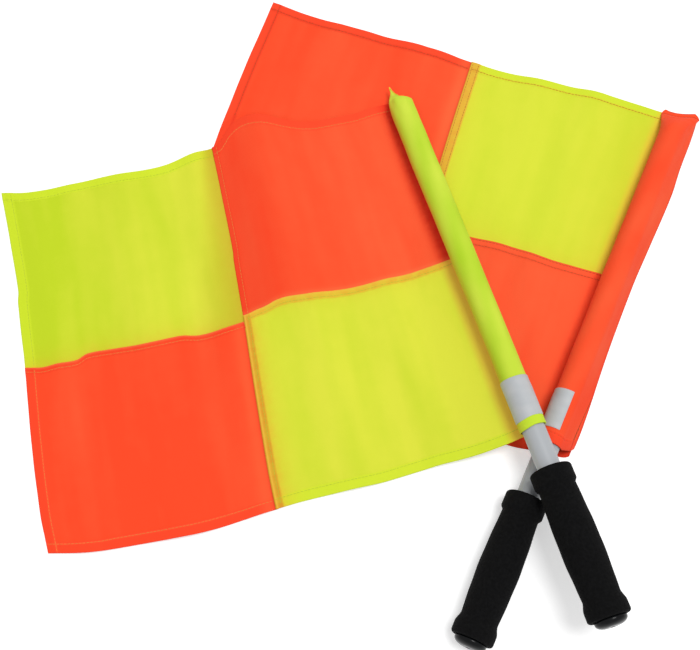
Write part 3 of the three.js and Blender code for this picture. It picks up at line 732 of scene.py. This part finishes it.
def cloth_stitches(flag, parts, colour, material):
    """The stitching on the panels of one colour: hems, and the rows of felled seams."""
    start, samples = 0.002, 160
    across, down = (np.linspace(start, length, samples) for length in (HALF_FLY, HALF_HOIST))
    lines = []
    for part in parts:
        fly_side, grip_side = PANELS[part]
        if fly_side:
            lines.append(panel_line(flag, part, HALF_FLY - HEM_ROW, down))
        else:
            lines += [panel_line(flag, part, HALF_FLY + LAP_OVER - row, down) for row in flag.seam_rows]
        lines.append(panel_line(flag, part, across, HALF_HOIST - HEM_ROW if grip_side else HEM_ROW))
        if grip_side:
            lines += [panel_line(flag, part, across, row - LAP_OVER) for row in flag.seam_rows]
    lines = [line for line in lines if len(line[0]) > 1]
    return stitches(flag, "stitches_on_" + colour, lines, material)


# Sleeves

def sleeve_section(flag, y, w, radius):
    """x and z of a sleeve at full width, at share w of the way round, with its tail where it has one."""
    height = flag.axis_height(y)
    if flag.tail_shares is None:
        angle = 2 * math.pi * w
        return radius * np.cos(angle), height + radius * np.sin(angle)
    tail_x = -SLEEVE_TAIL * along(flag.tail_shares, y / SLEEVE_LENGTH)
    tail_z = REST + TAIL_LIFT - height
    tail_length = np.hypot(tail_x, tail_z)
    wrap = np.arccos(SLEEVE_OUTER / tail_length)
    towards = np.arctan2(tail_z, tail_x)
    flank = np.minimum(w, 1 - w) / FLANK_SHARE
    side = np.where(w < 0.5, 1, -1)
    round_share = (w - FLANK_SHARE) / (1 - 2 * FLANK_SHARE)
    arc_angle = towards + wrap + round_share * (2 * math.pi - 2 * wrap)
    angle = np.where(flank < 1, towards + side * wrap, arc_angle)
    back = SLEEVE_OUTER * np.tan(wrap) * np.clip(1 - flank, 0, 1)
    x = radius * np.cos(angle) + side * back * np.sin(angle)
    z = radius * np.sin(angle) - side * back * np.cos(angle)
    return x, height + z


def near_mouth(flag, y):
    return smooth((y - flag.foot + REACH_RUN) / REACH_RUN)


def reach_at(flag, x):
    """How far the sleeve's mouth reaches on by the pole, against its tail."""
    return flag.mouth_reach * np.clip((x + SLEEVE_TAIL) / (SLEEVE_TAIL - SLEEVE_OUTER), 0, 1)


def sleeve_at(flag, y, w, radius):
    """A sleeve's point in the flag's frame: sewn into a flat lip at the closed tip, open beyond."""
    place = y - flag.sleeve_start
    past_lip = place - flag.tip_lip
    full_x, full_z = sleeve_section(flag, y, w, radius)
    angle = np.arctan2(full_z - flag.axis_height(y), full_x)
    out = np.cos(angle)
    inset = SLEEVE_OUTER - radius
    tip_length = flag.tip_length + flag.tip_skew * out
    ease = mix(flag.tip_ease, flag.tip_left_ease, np.maximum(out, 0))
    opened = smooth(past_lip / (tip_length - flag.tip_lip)) ** ease

    pressed = 1 - LIP_PRESS * (1 - smooth(past_lip / LIP_PRESS_RUN))
    pressed = pressed - LIP_GROOVE * bell(past_lip, LIP_GROOVE_RUN)
    middle = (flag.tip_left - flag.tip_right) / 2
    half = (flag.tip_left + flag.tip_right) / 2
    flat_x = middle + (half - inset) * out
    flat_z = flag.tip_lift + (LIP_HALF_HEIGHT * pressed - inset / 2) * np.sin(angle)
    slack = np.where(out > 0, along(flag.left_slack, place), along(flag.right_slack, place))
    x = mix(flat_x, full_x + slack * out, opened)
    z = mix(flat_z, full_z, opened)

    waved = along(flag.tip_waves, flat_x) * mix(1, flag.tip_wave_stays, smooth(place / flag.tip_lip))
    slant_run = (SLANT_RUN + flag.tip_slant_stays * (1 - out)) * tip_length
    leaned = flag.tip_slant_share * flat_x * (1 - smooth(place / slant_run)) + waved * (1 - opened)
    reach = reach_at(flag, full_x) * near_mouth(flag, y)
    by_mouth = smooth((place - SLEEVE_LENGTH + CORNER_RUN) / CORNER_RUN)
    if flag.tail_shares is None:
        from_side = 0.2
        reach = reach + FLANK_REACH * by_mouth * smooth((out + from_side) / (1 + from_side))
    else:
        front_width, back_width, back_share = 0.08, 0.03, 0.35
        corner = bell(w, front_width) + back_share * bell(1 - w, back_width)
        reach = reach - MOUTH_CORNER * corner * by_mouth
    return x, y + leaned + reach, z


def sleeve_surface(flag, y, w, radius):
    """The same point with its creases, in the row frame."""
    place = y - flag.sleeve_start
    x, y_out, z = sleeve_at(flag, y, w, radius)
    ahead_x, _, ahead_z = sleeve_at(flag, y, w + 0.002, radius)
    out_x, out_z = ahead_z - z, x - ahead_x
    length = np.hypot(out_x, out_z) + 1e-9
    crease_rise, drag_rise, crumple_rise, crumple_from, crumple_run = 0.0001, 0.00007, 0.0005, 0.004, 0.03
    settle_run, seam_groove = 0.008, 0.00025
    round_place = 2 * math.pi * w * SLEEVE_OUTER
    crease = ripples(place, round_place, 21 + len(flag.fold_shares), 0.05, spread=0.9)
    drag = ripples(round_place, place * 0.25, 5, 0.02, spread=0.3)
    crumple = crumple_rise * bell(place - crumple_from, crumple_run)
    crumple = crumple * ripples(round_place, place, 8, 0.012, 0.4)
    amount = (crease_rise * crease + drag_rise * drag + crumple) * smooth((place - flag.tip_lip) / settle_run)
    if flag.tail_shares is not None:
        amount = amount - seam_groove * tail_seam_at(flag, place, w)
    return flag.to_row(x + amount * out_x / length, y_out, z + amount * out_z / length)


def tail_seam(y):
    """Share round the sleeve of the seam that closes its tail: it comes up from below near the foot."""
    below, by_foot = 0.03, -0.07
    return 1 + mix(below, by_foot, smooth((y - TAIL_SEAM_SHOWS) / TAIL_SEAM_RUN))


def tail_seam_at(flag, place, w):
    """1 on the seam that closes the tail, 0 a little beside it."""
    offset = np.mod(w - tail_seam(flag.sleeve_start + place) + 0.5, 1) - 0.5
    start, run = 0.05, 0.01
    return bell(offset, TAIL_SEAM_WIDTH) * smooth((place - start) / run)


def sleeve_marks(flag, place, w, hem):
    """How far each mark of MARKS shows at a place on a sleeve."""
    turn = np.mod(2 * math.pi * w + math.pi, 2 * math.pi) - math.pi
    past_lip = place - flag.tip_lip
    shade_and_dark_line = 0.45 * bell(past_lip, 0.0008)
    seam = light_and_pale_line = np.zeros_like(place)
    if flag is UPPER:
        # Painted shade, warmed by a painted reflection of the orange cloth, on the sleeve's side that faces
        # its cloth
        shaded_side = 0.55 * bell(turn + 0.25, 0.6)
        seam = np.maximum(shaded_side, 0.5 * bell(past_lip, 0.0016))
        light_and_pale_line = 0.6 * bell(place, 0.0012)
    else:
        shade_and_dark_line = np.maximum(shade_and_dark_line, 0.6 * tail_seam_at(flag, place, w))
    # Streaks of lighter and deeper tone round and along the sleeve, painted for the light and shade of its
    # soft bulges
    strength = 0.35 if flag is UPPER else 0.2
    tone = 0.55 + strength * ripples(place, turn * SLEEVE_OUTER * 6, 61, 0.09, spread=0.5)
    return {"hem": hem, "tone": tone, "seam": seam, "shade_and_dark_line": shade_and_dark_line, "light_and_pale_line": light_and_pale_line}


def sleeve(flag, material):
    """A closed tube of cloth, sewn flat at the tip and hemmed at the mouth."""
    around, half, end, inside_shade = 160, 80, SLEEVE_LENGTH, 0.45
    by_tip, by_mouth, tip_step, step, mouth_step = 0.012, end - 0.016, 0.0006, 0.003, 0.0008
    places = np.concatenate([
        np.arange(0, by_tip, tip_step), np.arange(by_tip, by_mouth, step),
        np.arange(by_mouth, end - mouth_step, mouth_step), [end - mouth_step / 2, end],
    ])
    hem = 1 - smooth((end - places - SLEEVE_HEM) / 0.001)
    stitch = STITCH_GROOVE * bell(end - places - SLEEVE_HEM + STITCH_FROM_FOLD, STITCH_LINE)
    outer_radius = SLEEVE_FACE + FOLD_RISE * hem * rounded((end - places) / EDGE_ROUND) - stitch
    inner_radius = np.full_like(places, SLEEVE_FACE - CLOTH)
    rows, columns = np.meshgrid(places, np.arange(around) / around, indexing="ij")
    outer, inner = (sleeve_surface(flag, flag.sleeve_start + rows, columns, radius[:, None])
                    for radius in (outer_radius, inner_radius))
    vertices = np.concatenate([outer.reshape(-1, 3), inner[1:].reshape(-1, 3)])

    count = len(places)
    inner_start = count * around
    faces = grid_faces(count, around, flip=True, closed=True)
    faces += grid_faces(count - 1, around, inner_start, closed=True)
    last, inner_last = (count - 1) * around, inner_start + (count - 2) * around
    ahead = [(i, (i + 1) % around) for i in range(around)]
    faces += [(last + j, last + i, inner_last + i, inner_last + j) for i, j in ahead]
    # The closed tip: each ring's two halves are sewn together
    for start, flip in ((0, False), (inner_start, True)):
        for i in range(half):
            quad = dict.fromkeys((i, i + 1, (around - i - 1) % around, (around - i) % around))
            quad = [start + corner for corner in quad]
            if len(quad) > 2:
                faces.append(quad[::-1] if flip else quad)

    flat = np.stack([columns * 2 * math.pi * SLEEVE_OUTER, rows, rows * 0], axis=-1).reshape(-1, 3)
    attributes = [("flat", np.concatenate([flat, flat[around:]]))]
    marks = sleeve_marks(flag, rows, columns, hem[:, None] * np.ones(around))
    # The inside face keeps the outside's marks, except that the dark mark paints shade over all of it
    for label in MARKS:
        inside = np.full_like(rows[1:], inside_shade) if label == "shade_and_dark_line" else marks[label][1:]
        attributes.append((label, np.concatenate([marks[label].ravel(), inside.ravel()])))
    return mesh_piece(flag, "cloth", "cloth_sleeve", vertices, faces, material, attributes, "sleeve")


def sleeve_tab(flag, material):
    """The patch round the sleeve's foot, which follows the sleeve's creases."""
    edge = np.array([0, 0.0003, 0.0008, 0.0016])
    places = flag.foot - flag.tab_from_foot - TAB_LENGTH + spaced(edge, TAB_LENGTH, 26)
    rows, columns = np.meshgrid(places, spaced(edge, TAB_WIDTH, 60), indexing="ij")
    half_wrap = TAB_WIDTH / (SLEEVE_OUTER + TOUCH_GAP) / 2
    w = share_round(flag, rows, flag.tab_middle - half_wrap + columns / TAB_WIDTH * 2 * half_wrap)
    inside = np.minimum.reduce([rows - places[0], places[-1] - rows, columns, TAB_WIDTH - columns])
    inside = inside / EDGE_ROUND
    base = SLEEVE_OUTER + TOUCH_GAP * 0.4
    grain, dent_depth, dent_width, dent_place, dent_share = 0.00012, 0.0003, 0.0017, 0.0075, 0.62
    from_dent = np.hypot(rows - places[0] - dent_place, columns - TAB_WIDTH * dent_share)
    dimple = grain * ripples(rows, columns, 31, 0.014) - dent_depth * bell(from_dent, dent_width)
    reach = reach_at(flag, sleeve_section(flag, rows, w, base)[0])
    on_sleeve = rows
    for _ in range(3):
        on_sleeve = rows + reach * (1 - near_mouth(flag, on_sleeve))
    under = sleeve_surface(flag, on_sleeve, w, np.full_like(rows, base))
    top = sleeve_surface(flag, on_sleeve, w, base + TAB * rounded(inside) + dimple * smooth(inside / 3))
    return two_sided(flag, "tab", "sleeve_tab", under, top, (rows, columns), {}, material)


def share_round(flag, y, angle):
    """The share w round a sleeve at which its section has a given angle from x."""
    if flag.tail_shares is None:
        return angle / (2 * math.pi)
    samples = np.linspace(0.0, 1.0, 721)
    middle = np.full_like(samples, y.mean())
    x, z = sleeve_section(flag, middle, samples, SLEEVE_OUTER)
    angles = np.unwrap(np.arctan2(z - flag.axis_height(middle), x))
    shift = 2 * math.pi * np.ceil((angles[0] - angle) / (2 * math.pi))
    return np.interp(angle + shift, angles, samples)


def sleeve_line(flag, y, w):
    """A line of points on a sleeve, with normals, for stitches."""
    y, w = np.broadcast_arrays(np.asarray(y, float), np.mod(w, 1))
    radius = np.full_like(y, SLEEVE_FACE)
    on = sleeve_surface(flag, y, w, radius)
    return on, sleeve_surface(flag, y, w, radius + 0.001) - on


# Turned pieces, drawn as radius and distance along the pole's axis

def turned(flag, name, node, profile, material, around=96, wobble=None):
    """A solid of revolution on the flag's pole. A profile that ends where it starts makes a ring."""
    profile = np.array(profile)
    ring = np.allclose(profile[0], profile[-1])
    if ring:
        profile = profile[:-1]
    angles = 2 * math.pi * np.arange(around) / around
    radius, turn = np.meshgrid(profile[:, 0], angles, indexing="ij")
    place = np.repeat(profile[:, 1][:, None], around, axis=1)
    if wobble is not None:
        radius = radius + wobble(place, turn) * (radius > POLE + 0.001)
    out = np.cos(turn)[..., None] * flag.side + np.sin(turn)[..., None] * flag.up
    points = flag.start + place[..., None] * flag.axis + radius[..., None] * out
    faces = grid_faces(len(profile), around, closed=True)
    last = (len(profile) - 1) * around
    if ring:
        faces += [(last + i, last + (i + 1) % around, (i + 1) % around, i) for i in range(around)]
    else:
        faces += [tuple(range(around))[::-1], tuple(range(last, last + around))]
    flat = np.stack([turn * POLE, place, turn * 0], axis=-1).reshape(-1, 3)
    return mesh_piece(flag, "pole", name, points.reshape(-1, 3), faces, material, [("flat", flat)], node)


def grip_radius(place):
    """The grip's radius at a distance from its inner end, as in the model."""
    inner_neck = INNER_COLLAR + INNER_STEP
    outer_neck = GRIP - OUTER_COLLAR - OUTER_STEP
    share = np.clip((place - inner_neck) / (outer_neck - inner_neck), 0, 1)
    belly = mix(NECK, BELLY, np.sin(math.pi * share))
    inner = mix(COLLAR, NECK, smooth((place - INNER_COLLAR) / INNER_STEP))
    outer = mix(NECK, COLLAR, smooth((place - outer_neck) / OUTER_STEP))
    radius = np.where(place < inner_neck, inner, np.where(place > outer_neck, outer, belly))
    depth = np.clip(COLLAR_ROUND - np.minimum(place, GRIP - place), 0, COLLAR_ROUND)
    return radius - COLLAR_ROUND + np.sqrt(COLLAR_ROUND ** 2 - depth ** 2)


def foam_grip(flag, material):
    start, _ = flag.span("foam_grip")
    ease = COLLAR_ROUND * (1 - np.cos(np.linspace(0, math.pi / 2, 9)))
    places = spaced(ease, GRIP, 120)
    radii = grip_radius(places)
    lip = np.linspace(radii[0], POLE + TOUCH_GAP / 3, 5)[1:]
    profile = [(r, start + p) for r, p in zip(radii, places)]
    profile += [(r, start + GRIP) for r in lip] + [(r, start) for r in lip[::-1]]
    profile.append(profile[0])

    def wobble(place, turn):
        dents = 0.00016 * ripples(place, np.sin(turn) * 0.01, 41, 0.03)
        pores = 0.00003 * ripples(place, turn * COLLAR, 43, 0.0035, count=9)
        return dents + pores

    piece = turned(flag, "foam", "foam_grip", profile, material, around=128, wobble=wobble)
    return piece


def pole_tube(flag, material):
    start, end = flag.span("pole_tube")
    bore, edge = POLE - TUBE_WALL, 0.0006
    rim = edge * 0.3
    profile = [(bore, start), (POLE - edge, start), (POLE - rim, start + rim)]
    profile += [(POLE, place) for place in np.linspace(start + edge, end - edge, 60)]
    profile += [(POLE - rim, end - rim), (POLE - edge, end), (bore, end), (bore, start)]
    return turned(flag, "pole", "pole_tube", profile, material)


def tip_plug(flag, material):
    start, end = flag.span("tip_plug")
    seat = flag.span("pole_tube")[0] - TOUCH_GAP
    bore, ease, chamfer = POLE - TUBE_WALL - TOUCH_GAP, 0.002, 0.001
    profile = [(NEAR_AXIS, start)]
    for angle in np.linspace(0, math.pi / 2, 8):
        profile.append((POLE - ease * (1 - math.sin(angle)), start + ease * (1 - math.cos(angle))))
    profile += [(POLE, seat), (bore, seat), (bore, end - chamfer), (bore - chamfer, end), (NEAR_AXIS, end)]
    return turned(flag, "plug", "tip_plug", profile, material)


def end_cap(flag, material):
    """A low glossy dome with a rounded rim, a flat land and a blind hole in the middle."""
    start, end = flag.span("end_cap")
    seat = flag.span("foam_grip")[1] + TOUCH_GAP
    bore = POLE - TUBE_WALL - TOUCH_GAP
    rim, half, land, hole, depth, edge, lip = 0.0015, 0.0135, 0.0045, 0.0017, 0.0025, 0.0004, 0.0003
    profile = [(NEAR_AXIS, start), (bore, start), (bore, seat), (half - edge, seat), (half, seat + edge)]
    for angle in np.linspace(0, math.pi / 2, 24):
        profile.append((mix(land, half, math.cos(angle)), mix(seat + rim, end, math.sin(angle))))
    profile += [(hole + lip, end), (hole + lip * 0.3, end - lip * 0.3), (hole, end - lip)]
    profile += [(hole, end - depth), (NEAR_AXIS, end - depth)]
    return turned(flag, "cap", "end_cap", profile, material)


# Materials

class Look:
    """The nodes of a material, or of the world, that is being built."""

    def __init__(self, name, kind="materials", shader="Principled BSDF"):
        self.owner = getattr(bpy.data, kind).new(name)
        self.owner.use_nodes = True
        self.tree = self.owner.node_tree
        self.shader = self.tree.nodes[shader]

    def node(self, kind, settings=(), **inputs):
        made = self.tree.nodes.new("ShaderNode" + kind)
        for key, value in dict(settings).items():
            setattr(made, key, value)
        for key, value in inputs.items():
            self.put(made.inputs[int(key[1:]) if key[1:].isdigit() else key], value)
        return made

    def put(self, socket, value):
        if isinstance(value, bpy.types.NodeSocket):
            self.tree.links.new(value, socket)
        else:
            socket.default_value = value

    def set(self, **values):
        for key, value in values.items():
            self.put(self.shader.inputs[key.replace("_", " ")], value)

    def flat(self, x=1, y=1):
        """The flat place on the piece, in metres times x and y."""
        place = self.node("Attribute", {"attribute_name": "flat"}).outputs["Vector"]
        return self.node("VectorMath", {"operation": "MULTIPLY"}, i0=place, i1=(x, y, 1)).outputs[0]

    def amount(self, name):
        return self.node("Attribute", {"attribute_name": name}).outputs["Fac"]

    def place(self):
        return self.node("NewGeometry").outputs["Position"]

    def on_flat(self, x, y, detail=2):
        return self.noise(self.flat(x, y), detail=detail)

    def noise(self, place, scale=1, detail=2):
        return self.node("TexNoise", Vector=place, Scale=scale, Detail=detail).outputs["Fac"]

    def maths(self, operation, first, second=0.0):
        return self.node("Math", {"operation": operation}, i0=first, i1=second).outputs[0]

    def ramp(self, value, low, high, start=0.0, end=1.0):
        return self.node("MapRange", Value=value, i1=low, i2=high, i3=start, i4=end).outputs[0]

    def blend(self, share, first, second):
        made = self.node("Mix", {"data_type": "RGBA"})
        self.put(made.inputs[0], share)
        for socket, value in ((made.inputs[6], first), (made.inputs[7], second)):
            self.put(socket, (*value, 1) if isinstance(value, tuple) else value)
        return made.outputs[2]

    def bump(self, height, distance, strength=1.0, below=None):
        below = {"Normal": below} if below else {}
        return self.node("Bump", Height=height, Distance=distance, Strength=strength, **below).outputs[0]

    def seen(self):
        """1 for rays that show a surface: those from the camera, and those that gloss or glass reflects."""
        rays = self.node("LightPath").outputs
        total = self.maths("MAXIMUM", rays["Is Camera Ray"], rays["Is Glossy Ray"])
        return self.maths("MAXIMUM", total, rays["Is Transmission Ray"])


def cloth_look(name, tones):
    """Plain-woven polyester: a fine weave, streaks of tone down the hoist, hems, seams, and the painted shade
    and light of folded edges and the sleeve.
    """
    look = Look(name)
    threads = look.node("VectorMath", {"operation": "SINE"}, i0=look.flat(9000, 9000)).outputs[0]
    along_x, along_y, _ = look.node("SeparateXYZ", Vector=threads).outputs
    weave = look.maths("MULTIPLY", along_x, along_y)
    slubs = look.on_flat(900, 160, 3)
    streaks = look.ramp(look.on_flat(32, 5), 0.3, 0.7, -0.3, 0.3)
    cloud = look.ramp(look.on_flat(60, 60, 3), 0.3, 0.7, -0.06, 0.06)
    depth = look.maths("ADD", look.amount("tone"), look.maths("ADD", streaks, cloud))
    colour = look.blend(depth, tones["light"], tones["deep"])
    colour = look.blend(look.maths("MULTIPLY", look.amount("hem"), 0.7), colour, tones["hem"])
    spots = look.ramp(look.on_flat(150, 150, 3), 0.35, 0.65, 0.7, 1)
    colour = look.blend(look.maths("MULTIPLY", look.amount("seam"), spots), colour, tones["seam"])
    for mark in ("shade_and_dark_line", "light_and_pale_line"):
        colour = look.blend(look.amount(mark), colour, tones[mark])
    look.set(Base_Color=colour, Roughness=0.75, Sheen_Weight=0.03, Sheen_Roughness=0.5)
    look.set(Specular_IOR_Level=0.12)
    crumple = look.bump(look.on_flat(240, 120, 3), 0.0004, 0.35)
    rough = look.bump(slubs, 0.0001, 0.25, crumple)
    look.set(Normal=look.bump(weave, 0.00006, 0.3, rough))
    return look.owner


def thread_look(name, tone):
    look = Look(name)
    twist = look.noise(look.place(), 2600, 1)
    darker = tuple(value * 0.6 for value in tone)
    look.set(Base_Color=look.blend(twist, darker, tone), Roughness=0.6, Specular_IOR_Level=0.3)
    look.set(Normal=look.bump(twist, 0.0001, 0.4))
    return look.owner


def tab_look():
    """Coated pale grey tape: a fine grain with soft clouds."""
    look = Look("tab_tape")
    grain = look.on_flat(2600, 2600)
    cloud = look.ramp(look.on_flat(90, 40, 3), 0.3, 0.7)
    colour = look.blend(cloud, (0.45, 0.475, 0.495), (0.54, 0.55, 0.56))
    look.set(Base_Color=colour, Roughness=0.5, Specular_IOR_Level=0.4, Sheen_Weight=0.05)
    look.set(Normal=look.bump(grain, 0.00005, 0.4))
    return look.owner


def plastic_look():
    """Extruded grey plastic, with faint draw lines along the pole and a few scuffs."""
    look = Look("grey_plastic_tube")
    lines = look.on_flat(3000, 12, 3)
    scuffs = look.ramp(look.on_flat(500, 90, 4), 0.55, 0.75)
    colour = look.blend(look.maths("MULTIPLY", scuffs, 0.35), GREY, (0.4, 0.42, 0.45))
    look.set(Base_Color=colour, Roughness=look.ramp(scuffs, 0, 1, 0.36, 0.55), Specular_IOR_Level=0.45)
    look.set(Normal=look.bump(lines, 0.00004, 0.3))
    return look.owner


def foam_look():
    """Closed-cell foam: dull black, with fine pores over a softer skin."""
    look = Look("black_foam")
    place = look.place()
    cells = look.node("TexVoronoi", {"feature": "DISTANCE_TO_EDGE"}, Vector=place, Scale=1500).outputs[0]
    skin = look.noise(place, 420, 4)
    colour = look.blend(look.ramp(skin, 0.35, 0.7), FOAM, (0.006, 0.006, 0.0063))
    look.set(Base_Color=colour, Roughness=0.9, Specular_IOR_Level=0.08)
    soft = look.bump(skin, 0.0006, 0.5)
    look.set(Normal=look.bump(look.ramp(cells, 0, 0.3), 0.0002, 0.5, soft))
    return look.owner


def gloss_look():
    look = Look("black_gloss")
    marks = look.noise(look.place(), 300, 4)
    look.set(Base_Color=look.blend(marks, GLOSS, (0.005, 0.0056, 0.0065)), Specular_IOR_Level=0.12)
    look.set(Roughness=look.ramp(marks, 0.3, 0.8, 0.12, 0.3), Normal=look.bump(marks, 0.00005, 0.2))
    return look.owner


# Floor, light and camera

def floor():
    """A pale floor that shows white and keeps the object's shadow."""
    half, z, grey, glow = 3.0, -FLOOR_DROP, 0.8, 0.45
    mesh = bpy.data.meshes.new("floor")
    mesh.from_pydata([(-half, -half, z), (half, -half, z), (half, half, z), (-half, half, z)], [], [range(4)])
    look = Look("pale_floor")
    look.set(Base_Color=(grey, grey, grey, 1), Roughness=1, Specular_IOR_Level=0, Emission_Color=(1, 1, 1, 1))
    look.set(Emission_Strength=look.maths("MULTIPLY", look.seen(), glow))
    mesh.materials.append(look.owner)
    placed("floor", mesh)


def world():
    """A white sky, which shows at full strength and lights the scene at half of it."""
    look = Look("studio", "worlds", "Background")
    look.set(Color=(1, 1, 1, 1), Strength=look.ramp(look.seen(), 0, 1, 0.5, 1.0))
    bpy.context.scene.world = look.owner


def sun():
    lamp = bpy.data.lights.new("key", "SUN")
    lamp.energy = 1.68
    lamp.angle = math.radians(24)
    key = placed("key", lamp)
    key.rotation_mode = "QUATERNION"
    key.rotation_quaternion = Vector((0.22, 0.04, 1.0)).to_track_quat("Z", "Y")


def camera():
    """The photograph's view: 70 degrees below the horizon, from in front of the grips."""
    tilt = 20
    from_lower_tip = np.array([-0.315257, -0.54957, 0.93571])
    lens = bpy.data.cameras.new("camera")
    lens.sensor_width = 36
    lens.lens = 56.571
    eye = placed("camera", lens)
    eye.location = (*(LOWER.start[:2] + from_lower_tip[:2]), from_lower_tip[2])
    eye.rotation_euler = (math.radians(tilt), 0, 0)
    bpy.context.scene.camera = eye


camera()
bpy.context.scene.view_settings.view_transform = "Standard"
floor()
world()
sun()

orange = cloth_look("orange_cloth", ORANGE_TONES)
yellow = cloth_look("yellow_cloth", YELLOW_TONES)
yellow_sleeve = cloth_look("yellow_sleeve_cloth", YELLOW_SLEEVE_TONES)
dark_thread = thread_look("dark_thread", DARK_THREAD)
orange_thread = thread_look("orange_thread", ORANGE_THREAD)
yellow_thread = thread_look("yellow_thread", YELLOW_THREAD)
tape = tab_look()
plastic = plastic_look()
foam = foam_look()
gloss = gloss_look()
slots = {orange: "orange_cloth", yellow: "yellow_cloth", yellow_sleeve: "yellow_cloth"}


def build_flag(flag, tip_look, other_look, sleeve_look, threads):
    looks = dict(zip(PANELS, (tip_look, other_look, other_look, tip_look)))
    for look in (orange, yellow):
        parts = [part for part in PANELS if looks[part] == look]
        slot = slots[look]
        cloth_stitches(flag, parts, slot.split("_")[0], threads[look])
    for part, look in looks.items():
        piece = cloth_panel(flag, part, look)
    tube = sleeve(flag, sleeve_look)
    flag.node("pole")
    patch = sleeve_tab(flag, tape)
    pole_tube(flag, plastic)
    tip_plug(flag, plastic)
    foam_grip(flag, foam)
    end_cap(flag, gloss)


def sleeve_seams(flag, lines, thread):
    piece = stitches(flag, "sleeve_stitches", [sleeve_line(flag, y, w) for y, w in lines], thread)


build_flag(LOWER, yellow, orange, orange, {orange: dark_thread, yellow: dark_thread})
build_flag(UPPER, orange, yellow, yellow_sleeve, {orange: orange_thread, yellow: yellow_thread})

full_round = np.linspace(0, 1, 200)
lower_mouth = LOWER.foot - SLEEVE_HEM + STITCH_FROM_FOLD
past_tip, from_mouth, doubled_stretch, beside = 0.06, 0.002, 0.022, 0.008
lower_run = np.linspace(LOWER.sleeve_start + past_tip, LOWER.foot - from_mouth, 400)
doubled_run = lower_run[lower_run > LOWER.foot - doubled_stretch]
sleeve_seams(LOWER, [
    (lower_mouth, full_round),
    (LOWER.sleeve_start + LOWER.tip_lip, full_round),
    (lower_run, tail_seam(lower_run)),
    (doubled_run, tail_seam(doubled_run) + beside),
], dark_thread)
sleeve_seams(UPPER, [(UPPER.sleeve_start + UPPER.tip_lip, full_round)], yellow_thread)
